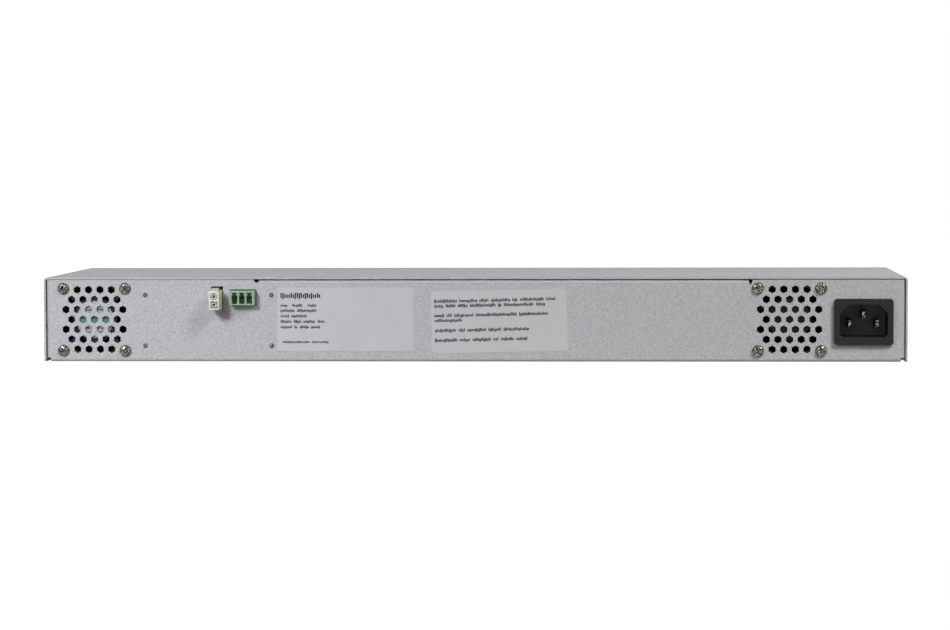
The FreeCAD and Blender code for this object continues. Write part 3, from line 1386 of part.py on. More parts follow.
def notice_sticker():
    """Round-cornered sticker in the middle, put on slightly crooked."""
    sticker = rounded_block(
        span(NOTICE_X, NOTICE_WIDTH), (REAR_Y - STICKER_THICK, REAR_Y), span(NOTICE_CENTRE_Z, NOTICE_HEIGHT),
        NOTICE_CORNER, ALONG_Y
    )
    sticker.rotate(Vector(NOTICE_X, REAR_Y, NOTICE_CENTRE_Z), -ALONG_Y, NOTICE_TILT)
    return sticker


def status_lamp():
    """Light pipe pushed into the front wall from inside, up to its collar."""
    x = LAMP_INSET - HALF_WIDTH
    return joined([
        block(span(x, LAMP_WIDTH), (FRONT_IN, FRONT_Y), span(LAMP_CENTRE_Z, LAMP_HEIGHT)),
        block(
            span(x, LAMP_WIDTH + 2.0 * LAMP_COLLAR), (FRONT_IN - LAMP_LENGTH, FRONT_IN),
            span(LAMP_CENTRE_Z, LAMP_HEIGHT + 2.0 * LAMP_COLLAR)
        ),
    ])


def all_parts():
    """Every node by name."""
    parts = {
        "base_tray": base_tray(),
        "top_cover": top_cover(),
        "cover_screws": cover_screws(),
        "fan_screws": fan_screws(),
        "output_board": output_board(),
        "board_posts": board_posts(),
        "power_header": power_header(),
        "power_pins": power_pins(),
        "signal_header": signal_header(),
        "signal_pins": signal_pins(),
        "mains_inlet": mains_inlet(),
        "inlet_pins": inlet_pins(),
        "converter_board": converter_board(),
        "board_supports": board_supports(),
        "insulating_sheet": insulating_sheet(),
        "input_terminals": input_terminals(),
        "output_terminals": output_terminals(),
        "input_fuse": input_fuse(),
        "fuse_clips": fuse_clips(),
        "filter_core": filter_core(),
        "filter_windings": filter_windings(),
        "filter_capacitor": filter_capacitor(),
        "bulk_capacitor": bulk_capacitor(),
        "primary_heatsink": primary_heatsink(),
        "secondary_heatsink": secondary_heatsink(),
        "bridge_rectifier": bridge_rectifier(),
        "power_transistors": power_transistors(),
        "transformer_core": transformer_core(),
        "transformer_winding": transformer_winding(),
        "output_inductor": output_inductor(),
        "output_capacitors": output_capacitors(),
        "fan_plugs": fan_plugs(),
        "mains_leads": mains_leads(),
        "earth_lead": earth_lead(),
        "earth_tab": earth_tab(),
        "output_leads": output_leads(),
        "left_fan_lead": left_fan_lead(),
        "right_fan_lead": right_fan_lead(),
        "rating_sticker": rating_sticker(),
        "notice_sticker": notice_sticker(),
        "status_lamp": status_lamp(),
    }
    for side, place in (("left", left_fan_place), ("right", right_fan_place)):
        parts[side + "_fan_frame"] = place(fan_frame())
        parts[side + "_fan_bearing"] = place(fan_bearing())
        parts[side + "_fan_stator"] = place(fan_stator())
        parts[side + "_fan_rotor"] = place(fan_rotor())
        parts[side + "_fan_shaft"] = place(fan_shaft())
    return parts


os.makedirs("parts", exist_ok=True)
for node, shape in all_parts().items():
    shape.exportStep("parts/" + node + ".step")
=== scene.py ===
import json
import logging
import math
import random
from collections.abc import Iterable, Sequence
from dataclasses import dataclass, field
from enum import Enum

import bmesh
import bpy
from mathutils import Matrix, Vector

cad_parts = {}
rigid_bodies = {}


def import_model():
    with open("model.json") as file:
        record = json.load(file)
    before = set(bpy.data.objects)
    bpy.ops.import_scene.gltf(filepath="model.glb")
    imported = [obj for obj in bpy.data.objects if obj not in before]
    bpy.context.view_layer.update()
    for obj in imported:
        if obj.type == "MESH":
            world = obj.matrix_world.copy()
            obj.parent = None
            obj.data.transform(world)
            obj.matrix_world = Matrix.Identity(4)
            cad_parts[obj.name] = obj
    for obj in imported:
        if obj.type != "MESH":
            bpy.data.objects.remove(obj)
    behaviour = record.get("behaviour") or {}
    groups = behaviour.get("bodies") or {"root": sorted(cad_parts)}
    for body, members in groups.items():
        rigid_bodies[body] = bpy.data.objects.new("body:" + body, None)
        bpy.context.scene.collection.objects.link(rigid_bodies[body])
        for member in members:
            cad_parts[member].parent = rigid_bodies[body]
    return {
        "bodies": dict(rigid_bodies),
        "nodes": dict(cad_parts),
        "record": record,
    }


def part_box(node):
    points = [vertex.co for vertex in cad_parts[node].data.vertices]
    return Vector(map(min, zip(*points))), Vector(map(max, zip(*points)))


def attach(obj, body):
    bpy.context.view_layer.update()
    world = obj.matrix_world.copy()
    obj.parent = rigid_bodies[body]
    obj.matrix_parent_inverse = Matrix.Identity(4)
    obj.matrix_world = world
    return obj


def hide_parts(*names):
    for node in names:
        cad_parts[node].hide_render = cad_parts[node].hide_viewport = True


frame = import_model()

log = logging.getLogger("power_supply")

MM = 0.001
SQUARE = ((-1, -1), (1, -1), (1, 1), (-1, 1))
SCREEN_WHITE = 255.0
CURVE_KNEE = 0.04045
CURVE_SLOPE = 12.92
CURVE_LIFT = 0.055
CURVE_POWER = 2.4
BAND_PERIOD = 0.314
BEVEL_SAMPLES = 4
SOFT_STOPS = (0.3, 0.7)

Pair = tuple[float, float]
Triple = tuple[float, float, float]
Colour = tuple[float, float, float, float]
Socket = bpy.types.NodeSocket
Tree = bpy.types.NodeTree
Material = bpy.types.Material
Piece = bpy.types.Object


def tone(red: float, green: float, blue: float) -> Colour:
    """Linear colour of a screen colour, by the curve that screens use.

    Args:
        red: Red in steps from 0 to 255.
        green: Green in the same steps.
        blue: Blue in the same steps.

    Returns:
        The colour, opaque.
    """
    linear = []
    for step in (red, green, blue):
        share = step / SCREEN_WHITE
        if share <= CURVE_KNEE:
            linear.append(share / CURVE_SLOPE)
        else:
            linear.append(((share + CURVE_LIFT) / (1.0 + CURVE_LIFT)) ** CURVE_POWER)
    return linear[0], linear[1], linear[2], 1.0


def dimmed(colour: Sequence[float], share: float) -> Colour:
    """A colour at a share of its brightness."""
    return share * colour[0], share * colour[1], share * colour[2], 1.0


class Body(Enum):
    """Rigid bodies of the frame, by the names that they have there."""

    ENCLOSURE = "enclosure"
    LEFT_ROTOR = "left_rotor"
    RIGHT_ROTOR = "right_rotor"


# Shader building

def add_node(tree: Tree, kind: str, *sources: Socket, **inputs: object) -> bpy.types.Node:
    """New shader node, with some of its inputs set or fed.

    Args:
        tree: Tree that takes the node.
        kind: Type of the node, without the ShaderNode that Blender puts before it.
        sources: Sockets that feed its first inputs, in order.
        inputs: Value of each input, or the socket that feeds it; _ stands for a space.

    Returns:
        The node.
    """
    node = tree.nodes.new("ShaderNode" + kind)
    for socket, source in zip(node.inputs, sources):
        tree.links.new(source, socket)
    for name, source in inputs.items():
        socket = node.inputs[name.replace("_", " ")]
        if isinstance(source, Socket):
            tree.links.new(source, socket)
        else:
            socket.default_value = source
    return node


class Shader:
    """A material's node tree with a principled surface, built step by step."""

    def __init__(self, name: str) -> None:
        """Start the material.

        Args:
            name: Name of the material.
        """
        self.material = bpy.data.materials.new(name)
        self.material.use_nodes = True
        self.tree = self.material.node_tree
        self.tree.nodes.clear()
        self.surface = add_node(self.tree, "BsdfPrincipled")
        add_node(self.tree, "OutputMaterial", Surface=self.surface.outputs["BSDF"])
        self.place = add_node(self.tree, "TexCoord").outputs["Object"]

    def feed(self, name: str, source: Socket) -> None:
        """Link a socket to one input of the surface."""
        self.tree.links.new(source, self.surface.inputs[name])

    def value(self, name: str, amount: object) -> None:
        """Set one input of the surface."""
        self.surface.inputs[name].default_value = amount

    def noise(self, size: float, detail: float = 2.0, rough: float = 0.5) -> Socket:
        """Noise whose features are about a given size.

        Args:
            size: Size of a feature in metres.
            detail: Octaves of finer noise.
            rough: How strong the finer octaves are.

        Returns:
            The noise's value, 0 to 1.
        """
        return add_node(
            self.tree, "TexNoise", Vector=self.place, Scale=1.0 / size, Detail=detail,
            Roughness=rough,
        ).outputs["Fac"]

    def ramp(self, source: Socket, stops: Pair, low: Colour, high: Colour) -> Socket:
        """Colour that runs from one tone to another.

        Args:
            source: Value that drives it.
            stops: Values at which it leaves the low tone and reaches the high one.
            low: Tone at low values.
            high: Tone at high values.

        Returns:
            The colour.
        """
        node = add_node(self.tree, "ValToRGB", Fac=source)
        for element, place, colour in zip(node.color_ramp.elements, stops, (low, high)):
            element.position = place
            element.color = colour
        return node.outputs["Color"]

    def between(self, source: Socket, span: Pair) -> Socket:
        """A value from 0 to 1 mapped onto a span."""
        node = add_node(self.tree, "MapRange", Value=source, To_Min=span[0], To_Max=span[1])
        return node.outputs["Result"]

    def relief(self, height: Socket, depth: float, edge: float = 0.0) -> None:
        """Bump the surface, and round its edges in the shading.

        Args:
            height: Height of the relief, 0 to 1.
            depth: Real depth of the relief in metres.
            edge: Radius over which edges look rounded, in metres.
        """
        bump = add_node(self.tree, "Bump", Height=height, Distance=depth, Strength=1.0)
        if edge > 0.0:
            rounded = add_node(self.tree, "Bevel", Radius=edge)
            rounded.samples = BEVEL_SAMPLES
            self.tree.links.new(rounded.outputs["Normal"], bump.inputs["Normal"])
        self.feed("Normal", bump.outputs["Normal"])


# Finishes

@dataclass(frozen=True)
class PowderCoat:
    """Fine-textured silver-grey powder coat with small bright flecks."""

    name: str
    dark: Colour
    light: Colour
    stops: Pair = (0.32, 0.68)
    grain: float = 0.55 * MM
    cloud: float = 60.0 * MM
    cloud_dim: float = 0.97
    cloud_share: Pair = (0.25, 0.35)
    rough: Pair = (0.5, 0.68)
    gloss: float = 0.3
    peel: float = 0.035 * MM
    edge: float = 0.25 * MM

    def build(self) -> Material:
        """Grain and a broad cloud in the colour, and an orange-peel relief.

        Returns:
            The material.
        """
        shader = Shader(self.name)
        grain = shader.noise(self.grain, detail=3.0, rough=0.6)
        cloud = shader.noise(self.cloud, detail=1.0)
        middle = [(low + high) / 2.0 for low, high in zip(self.dark, self.light)]
        broad = shader.ramp(
            cloud, SOFT_STOPS, dimmed(middle, self.cloud_dim), dimmed(middle, 1.0)
        )
        fine = shader.ramp(grain, self.stops, self.dark, self.light)
        share = shader.between(cloud, self.cloud_share)
        both = shader.tree.nodes.new("ShaderNodeMix")
        both.data_type = "RGBA"
        for name, source in (("Factor", share), ("A", fine), ("B", broad)):
            shader.tree.links.new(source, both.inputs[name])
        shader.feed("Base Color", both.outputs["Result"])
        shader.feed("Roughness", shader.between(grain, self.rough))
        shader.value("Specular IOR Level", self.gloss)
        shader.relief(grain, self.peel, self.edge)
        return shader.material


@dataclass(frozen=True)
class PlatedSteel:
    """Bright plated steel with dark patches: tarnish, and on some finishes painted dark reflection
    as well.
    """

    name: str
    bright: Colour
    tarnish_and_dark_reflection: Colour
    patch: float = 1.1 * MM
    rough: Pair = (0.18, 0.42)
    stops: Pair = (0.34, 0.6)
    pits: float = 0.12 * MM
    pit_depth: float = 0.006 * MM
    edge: float = 0.08 * MM

    def build(self) -> Material:
        """Patchy colour and roughness over a metal.

        Returns:
            The material.
        """
        shader = Shader(self.name)
        patch = shader.noise(self.patch, detail=4.0, rough=0.65)
        # The dark tone is tarnish; on screw_steel it is also painted dark reflection.
        shader.feed("Base Color", shader.ramp(patch, self.stops, self.tarnish_and_dark_reflection, self.bright))
        shader.feed("Roughness", shader.between(patch, self.rough[::-1]))
        shader.value("Metallic", 1.0)
        shader.relief(shader.noise(self.pits), self.pit_depth, self.edge)
        return shader.material


@dataclass(frozen=True)
class Moulding:
    """Injection-moulded plastic with a fine spark-eroded grain."""

    name: str
    base: Colour
    rough: Pair = (0.38, 0.55)
    glow: float = 0.0
    gloss: float = 0.5
    grain: float = 0.18 * MM
    edge: float = 0.12 * MM
    flow: float = 6.0 * MM
    flow_dim: float = 0.86
    soak: Triple = (1.0, 0.9, 0.75)
    soak_depth: float = 3.0 * MM
    grain_depth: float = 0.008 * MM

    def build(self) -> Material:
        """Slight flow marks in the colour, a fine grain, and light that soaks in.

        Returns:
            The material.
        """
        shader = Shader(self.name)
        flow = shader.noise(self.flow, detail=3.0)
        dim = dimmed(self.base, self.flow_dim)
        shader.feed("Base Color", shader.ramp(flow, SOFT_STOPS, dim, self.base))
        grain = shader.noise(self.grain)
        shader.feed("Roughness", shader.between(grain, self.rough))
        shader.value("Specular IOR Level", self.gloss)
        if self.glow > 0.0:
            shader.value("Subsurface Weight", self.glow)
            shader.value("Subsurface Radius", self.soak)
            shader.value("Subsurface Scale", self.soak_depth)
        shader.relief(grain, self.grain_depth, self.edge)
        return shader.material


@dataclass(frozen=True)
class PrintedFilm:
    """Satin polyester sticker film, faintly mottled by its adhesive."""

    name: str
    base: Colour
    rough: Pair = (0.42, 0.56)
    gloss: float = 0.35
    mottle: float = 9.0 * MM
    mottle_dim: float = 0.95
    mottle_depth: float = 0.02 * MM
    grain: float = 0.4 * MM

    def build(self) -> Material:
        """Satin film with a slow unevenness.

        Returns:
            The material.
        """
        shader = Shader(self.name)
        mottle = shader.noise(self.mottle, detail=3.0)
        dim = dimmed(self.base, self.mottle_dim)
        shader.feed("Base Color", shader.ramp(mottle, SOFT_STOPS, dim, self.base))
        shader.feed("Roughness", shader.between(shader.noise(self.grain), self.rough))
        shader.value("Specular IOR Level", self.gloss)
        shader.relief(mottle, self.mottle_depth)
        return shader.material


@dataclass(frozen=True)
class CircuitLaminate:
    """Glass laminate under resist, with the shadow of its copper tracks."""

    name: str
    resist: Colour
    track: Colour
    cell: float = 4.0 * MM
    stops: Pair = (0.42, 0.46)
    rough: Pair = (0.25, 0.4)
    weave: float = 0.5 * MM
    weave_depth: float = 0.01 * MM

    def build(self) -> Material:
        """Blocky tracks from a square-cornered cell texture.

        Returns:
            The material.
        """
        shader = Shader(self.name)
        cells = add_node(shader.tree, "TexVoronoi", Vector=shader.place, Scale=1.0 / self.cell)
        cells.distance = "CHEBYCHEV"
        tracks = shader.ramp(cells.outputs["Distance"], self.stops, self.resist, self.track)
        shader.feed("Base Color", tracks)
        weave = shader.noise(self.weave, detail=1.0)
        shader.feed("Roughness", shader.between(weave, self.rough))
        shader.relief(weave, self.weave_depth)
        return shader.material


@dataclass(frozen=True)
class DrawnMetal:
    """Extruded or ground metal with fine lines along Y."""

    name: str
    base: Colour
    rough: Pair = (0.28, 0.45)
    line_width: float = 0.15 * MM
    line_length: float = 12.0 * MM
    line_dim: float = 0.8
    line_stops: Pair = (0.35, 0.65)
    line_depth: float = 0.01 * MM
    edge: float = 0.1 * MM

    def build(self) -> Material:
        """Fine drawn lines in colour, roughness and relief.

        Returns:
            The material.
        """
        shader = Shader(self.name)
        size = Vector((self.line_width, self.line_length, self.line_width))
        scale = [1.0 / side for side in size]
        drawn = add_node(shader.tree, "Mapping", Vector=shader.place, Scale=scale)
        lines = add_node(
            shader.tree, "TexNoise", Vector=drawn.outputs["Vector"], Scale=1.0, Detail=3.0
        ).outputs["Fac"]
        dim = dimmed(self.base, self.line_dim)
        shader.feed("Base Color", shader.ramp(lines, self.line_stops, dim, self.base))
        shader.feed("Roughness", shader.between(lines, self.rough))
        shader.value("Metallic", 1.0)
        shader.relief(lines, self.line_depth, self.edge)
        return shader.material


@dataclass(frozen=True)
class WoundCoil:
    """Turns of enamelled wire or of tape, side by side."""

    name: str
    crest: Colour
    groove: Colour
    pitch: float
    axis: str = "Y"
    metallic: float = 0.0
    stops: Pair = (0.1, 0.55)
    wander: float = 0.15
    depth_share: float = 1.0 / 3.0
    spots: float = 2.0 * MM
    rough: Pair = (0.3, 0.5)

    def build(self) -> Material:
        """Rounded turns in the colour and the relief.

        Returns:
            The material.
        """
        shader = Shader(self.name)
        bands = add_node(
            shader.tree, "TexWave", Vector=shader.place, Scale=BAND_PERIOD / self.pitch,
            Distortion=self.wander,
        )
        bands.wave_type = "BANDS"
        bands.bands_direction = self.axis
        turns = bands.outputs["Fac"]
        shader.feed("Base Color", shader.ramp(turns, self.stops, self.groove, self.crest))
        shader.feed("Roughness", shader.between(shader.noise(self.spots), self.rough))
        shader.value("Metallic", self.metallic)
        shader.relief(turns, self.pitch * self.depth_share)
        return shader.material


@dataclass(frozen=True)
class FiredCeramic:
    """Ferrite or fuse ceramic: dull, finely pitted."""

    name: str
    base: Colour
    rough: Pair = (0.5, 0.75)
    pits: float = 0.5 * MM
    pit_dim: float = 0.75
    pit_stops: Pair = (0.35, 0.6)
    pit_depth: float = 0.03 * MM
    edge: float = 0.2 * MM

    def build(self) -> Material:
        """Pitted grain in the colour and the relief.

        Returns:
            The material.
        """
        shader = Shader(self.name)
        pits = shader.noise(self.pits, detail=4.0, rough=0.7)
        dim = dimmed(self.base, self.pit_dim)
        shader.feed("Base Color", shader.ramp(pits, self.pit_stops, dim, self.base))
        shader.feed("Roughness", shader.between(pits, self.rough))
        shader.relief(pits, self.pit_depth, self.edge)
        return shader.material


@dataclass(frozen=True)
class ClearMoulding:
    """Clear light pipe."""

    name: str
    base: Colour
    rough: Pair = (0.1, 0.2)
    flow: float = 3.0 * MM
    flow_dim: float = 0.85
    clear: float = 0.7
    bend: float = 1.49

    def build(self) -> Material:
        """Mostly clear body with faint flow lines.

        Returns:
            The material.
        """
        shader = Shader(self.name)
        flow = shader.noise(self.flow)
        dim = dimmed(self.base, self.flow_dim)
        shader.feed("Base Color", shader.ramp(flow, SOFT_STOPS, dim, self.base))
        shader.feed("Roughness", shader.between(flow, self.rough))
        shader.value("Transmission Weight", self.clear)
        shader.value("IOR", self.bend)
        return shader.material


FINISHES = (
    PowderCoat("enclosure_paint", tone(150, 150, 153), tone(206, 206, 209)),
    # Near-black patches on the domes: tarnish and painted dark reflection.
    PlatedSteel(
        "screw_steel", tone(240, 224, 201), tone(18, 13, 9), 0.42 * MM, (0.2, 0.45), (0.52, 0.64)
    ),
    CircuitLaminate("board_laminate", tone(52, 56, 36), tone(66, 68, 44)),
    PlatedSteel("post_steel", tone(190, 190, 186), tone(120, 116, 108)),
    Moulding("natural_nylon", tone(224, 222, 206), (0.42, 0.6), glow=0.85),
    PlatedSteel("tinned_metal", tone(214, 212, 206), tone(138, 134, 126), rough=(0.12, 0.3)),
    Moulding("green_housing", tone(138, 170, 140), (0.35, 0.5), glow=0.06),
    Moulding("black_plastic", tone(27, 27, 28), (0.28, 0.42), gloss=0.22),
    Moulding("insulator_film", tone(214, 208, 190), (0.3, 0.4)),
    FiredCeramic("fuse_ceramic", tone(232, 230, 222)),
    FiredCeramic("ferrite", tone(58, 58, 62)),
    WoundCoil(
        "enamelled_copper", tone(196, 112, 62), tone(70, 30, 14), pitch=0.8 * MM, metallic=0.8
    ),
    Moulding("film_box", tone(214, 186, 70), (0.2, 0.32)),
    Moulding("can_sleeve", tone(34, 34, 40), (0.18, 0.3)),
    DrawnMetal("heatsink_alloy", tone(205, 205, 208)),
    Moulding("package_epoxy", tone(36, 36, 38), (0.5, 0.65)),
    WoundCoil("winding_tape", tone(222, 190, 74), tone(170, 136, 40), pitch=9.0 * MM),
    Moulding("lead_jacket", tone(40, 40, 44), (0.4, 0.55)),
    PrintedFilm("sticker_film", tone(194, 194, 196)),
    ClearMoulding("lamp_clear", tone(225, 235, 225)),
    Moulding("fan_plastic", tone(13, 13, 14), (0.5, 0.65), gloss=0.2),
    DrawnMetal("sintered_bronze", tone(190, 150, 96), (0.4, 0.55)),
    DrawnMetal("motor_steel", tone(120, 118, 116), (0.4, 0.55)),
    DrawnMetal("shaft_steel", tone(220, 220, 222), (0.08, 0.16)),
    # Power header pins: tin darkened as painted shade inside the sockets.
    PlatedSteel("tin_painted_socket_shade", tone(120, 116, 108), tone(70, 66, 60), rough=(0.35, 0.5)),
    # Signal header pins: tin darkened further as painted shade in the cavities.
    PlatedSteel("tin_painted_cavity_shade", tone(62, 60, 55), tone(30, 29, 27), rough=(0.4, 0.55)),
    # Inlet pins: the dark patches are painted dark reflection, between bright ones.
    PlatedSteel(
        "nickel_painted_dark_reflection", tone(176, 174, 168), tone(34, 33, 32), 0.9 * MM, (0.12, 0.3), (0.46, 0.66)
    ),
    Moulding("print_ink", tone(18, 18, 20), (0.5, 0.6), gloss=0.2, grain=0.3 * MM, edge=0.0),
    Moulding("faint_ink", tone(58, 55, 62), (0.5, 0.6), gloss=0.2, grain=0.3 * MM, edge=0.0),
    # Painted shade for gaps and recesses: the cover screws' crosses and the posts' seams and dots.
    Moulding("gap_painted_shade", tone(44, 43, 42), (0.6, 0.7), gloss=0.2, edge=0.0),
    PlatedSteel(
        "mark_steel", tone(140, 138, 134), tone(66, 64, 61), 0.45 * MM, (0.3, 0.5), (0.44, 0.6)
    ),
    # Hub sticker paper and band, darkened as painted shade behind the grille.
    PrintedFilm("hub_paper_painted_shade", tone(160, 156, 164)),
    PrintedFilm("hub_band_painted_shade", tone(62, 122, 94)),
)


class LookBook:
    """Every finish, built once, by name."""

    def __init__(self) -> None:
        """Build each finish."""
        self.built = {finish.name: finish.build() for finish in FINISHES}

    def dress(self, node: Piece, name: str) -> None:
        """Give a CAD node a finish.

        Args:
            node: The CAD object.
            name: Name of the finish.
        """
        materials = node.data.materials
        if len(materials) == 0:
            materials.append(self.built[name])
        for number in range(len(materials)):
            materials[number] = self.built[name]


# Mesh building

def place_mesh(name: str, mesh: bmesh.types.BMesh) -> Piece:
    """Turn a finished mesh into an object of the scene.

    Args:
        name: Name of the object and of its mesh.
        mesh: The mesh, which is used up.

    Returns:
        The new object.
    """
    data = bpy.data.meshes.new(name)
    mesh.to_mesh(data)
    mesh.free()
    piece = bpy.data.objects.new(name, data)
    bpy.context.scene.collection.objects.link(piece)
    return piece


def worked_mesh(piece: Piece) -> bpy.types.Mesh:
    """Mesh that an object's modifiers give it.

    Args:
        piece: The object.

    Returns:
        A new mesh.
    """
    bpy.context.view_layer.update()
    worked = piece.evaluated_get(bpy.context.evaluated_depsgraph_get())
    return bpy.data.meshes.new_from_object(worked)


def smooth(data: bpy.types.Mesh, sharp: float) -> None:
    """Shade a mesh smooth, and keep its sharper edges.

    Args:
        data: The mesh.
        sharp: Angle in degrees from which an edge stays sharp.
    """
    for polygon in data.polygons:
        polygon.use_smooth = True
    data.set_sharp_from_angle(angle=math.radians(sharp))


def cross_arms(first: Vector, second: Vector, turn: float) -> list[tuple[Vector, Vector]]:
    """Directions of the two arms of a cross.

    Args:
        first: First direction of the plane that the cross lies in.
        second: Second direction of that plane.
        turn: Angle of the first arm in radians.

    Returns:
        For each arm, the direction along it and the one across it.
    """
    arms = []
    for angle in (turn, turn + math.pi / 2.0):
        along = first * math.cos(angle) + second * math.sin(angle)
        across = second * math.cos(angle) - first * math.sin(angle)
        arms.append((along, across))
    return arms


class Form:
    """A mesh under construction, in metres in the row frame."""

    def __init__(self, mesh: bmesh.types.BMesh | None = None) -> None:
        """Start with a mesh that exists already, or with an empty one."""
        self.mesh = mesh or bmesh.new()

    def lathe(self, profile: list[Pair], centre: Vector, facets: int, material: int = 0) -> None:
        """Turned shape whose axis runs along Y through a centre.

        Args:
            profile: Radius and place along Y of each ring, from one end to the other. A radius
                of 0 is a point.
            centre: Point that the axis passes and that the places are counted from.
            facets: Number of facets round.
            material: Index of the material of its faces.
        """
        rings = []
        for radius, along in profile:
            ring = []
            for step in range(facets if radius > 0.0 else 1):
                angle = 2.0 * math.pi * step / facets
                offset = Vector((radius * math.cos(angle), along, radius * math.sin(angle)))
                ring.append(self.mesh.verts.new(centre + offset))
            rings.append(ring)
        for first, second in zip(rings, rings[1:]):
            for step in range(facets):
                follow = (step + 1) % facets
                corners = [
                    first[step % len(first)], first[follow % len(first)],
                    second[follow % len(second)], second[step % len(second)],
                ]
                face = self.mesh.faces.new(list(dict.fromkeys(corners)))
                face.material_index = material
                face.smooth = True

    def prism(self, near: list[Vector], far: list[Vector], material: int = 0) -> None:
        """Closed shape between two outlines.

        Args:
            near: Corners of the first outline.
            far: Corners of the second one, in the same order.
            material: Index of the material of its faces.
        """
        front = [self.mesh.verts.new(point) for point in near]
        back = [self.mesh.verts.new(point) for point in far]
        faces = [self.mesh.faces.new(front), self.mesh.faces.new(back[::-1])]
        for number in range(len(front)):
            follow = (number + 1) % len(front)
            side = [front[number], back[number], back[follow], front[follow]]
            faces.append(self.mesh.faces.new(side))
        for face in faces:
            face.material_index = material

    def block(self, low: Vector, high: Vector, material: int = 0) -> None:
        """Flat-sided block between two corners, for a stroke of print.

        Args:
            low: Lowest corner.
            high: Highest corner.
            material: Index of the material of its faces.
        """
        outline = ((low.x, low.z), (high.x, low.z), (high.x, high.z), (low.x, high.z))
        near, far = ([Vector((x, y, z)) for x, z in outline] for y in (low.y, high.y))
        self.prism(near, far, material)

    def close(self, name: str) -> Piece:
        """Turn the faces outwards and place the mesh."""
        bmesh.ops.recalc_face_normals(self.mesh, faces=self.mesh.faces)
        return place_mesh(name, self.mesh)

    def finish(self, name: str, materials: list[Material], body: Body) -> Piece:
        """Close the mesh into a piece that rides on a body.

        Args:
            name: Name of the piece.
            materials: Its materials, by index.
            body: Body that it moves with.

        Returns:
            The new object.
        """
        piece = self.close(name)
        for material in materials:
            piece.data.materials.append(material)
        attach(piece, body.value)
        log.info("%s: %d faces", name, len(piece.data.polygons))
        return piece


@dataclass
class SoftenedNode:
    """A CAD node with its moulded edges really rounded, which stands for the node."""

    book: LookBook
    node: str
    width: float
    look: str
    slot: str
    segments: int = 3
    weld: float = 0.001 * MM
    flat: float = 1.0
    folded: float = 40.0
    sharp: float = 35.0
    body: Body = Body.ENCLOSURE

    def build(self) -> None:
        """Copy the node's mesh, merge its flat facets and bevel its edges."""
        mesh = bmesh.new()
        mesh.from_mesh(frame["nodes"][self.node].data)
        bmesh.ops.remove_doubles(mesh, verts=mesh.verts, dist=self.weld)
        bmesh.ops.dissolve_limit(
            mesh, angle_limit=math.radians(self.flat), verts=mesh.verts, edges=mesh.edges
        )
        piece = place_mesh(self.node + "_softened", mesh)
        piece.data.materials.append(self.book.built[self.look])
        rounding = piece.modifiers.new("rounding", "BEVEL")
        rounding.width = self.width
        rounding.segments = self.segments
        rounding.limit_method = "ANGLE"
        rounding.angle_limit = math.radians(self.folded)
        rounded = worked_mesh(piece)
        piece.modifiers.clear()
        piece.data = rounded
        smooth(rounded, self.sharp)
        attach(piece, self.body.value)
        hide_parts(self.node)
        log.info("%s: %d faces", piece.name, len(rounded.polygons))


@dataclass
class SubAssembly:
    """CAD nodes that belong together, each in its slot's finish unless it has one of its own."""

    book: LookBook
    nodes: tuple[str, ...] = ()
    own_finish: dict[str, str] = field(default_factory=dict)

    def dress(self) -> None:
        """Give each node its finish."""
        slots = {part["node"]: part["material_slot"] for part in frame["record"]["subparts"]}
        for node in self.nodes:
            self.book.dress(frame["nodes"][node], self.own_finish.get(node, slots[node]))
        log.info("%s: %d nodes dressed", type(self).__name__, len(self.nodes))

    def add_pieces(self) -> None:
        """Add what the looks need beyond the nodes, which here is nothing."""

    def build(self) -> None:
        """Dress the nodes, then add the pieces."""
        self.dress()
        self.add_pieces()


# Generic print

@dataclass(frozen=True)
class PrintRow:
    """One row of generic print, in millimetres from the sticker's top left corner."""

    middle: float
    tall: float
    words: tuple[Pair, ...]


@dataclass(frozen=True)
class PrintRun:
    """Rows of upright strokes of uneven height, with no lettering in them."""

    rows: tuple[PrintRow, ...]
    proud: float = 0.02 * MM
    seed: int = 7
    pitch: float = 0.34
    pen: float = 0.245
    rises: tuple[float, ...] = (0.5, 0.5, 0.26, 0.26, 0.26)
    drops: tuple[float, ...] = (0.34, 0.34, 0.34, 0.54)

    def lay(self, form: Form, corner: Vector, material: int) -> None:
        """Lay every row onto a surface square to Y.

        Args:
            form: Mesh that takes the strokes.
            corner: Top left corner of the surface, seen from -Y.
            material: Index of the ink's material.
        """
        chance = random.Random(self.seed)
        for row in self.rows:
            for start, end in row.words:
                count = max(1, round((end - start) / (self.pitch * row.tall)))
                for number in range(count):
                    left = start + (end - start) * number / count
                    right = left + self.pen * row.tall
                    bottom = row.middle + chance.choice(self.drops) * row.tall
                    top = row.middle - chance.choice(self.rises) * row.tall
                    near = corner + Vector((left * MM, -self.proud, -bottom * MM))
                    far = corner + Vector((right * MM, self.proud, -top * MM))
                    form.block(near, far, material)


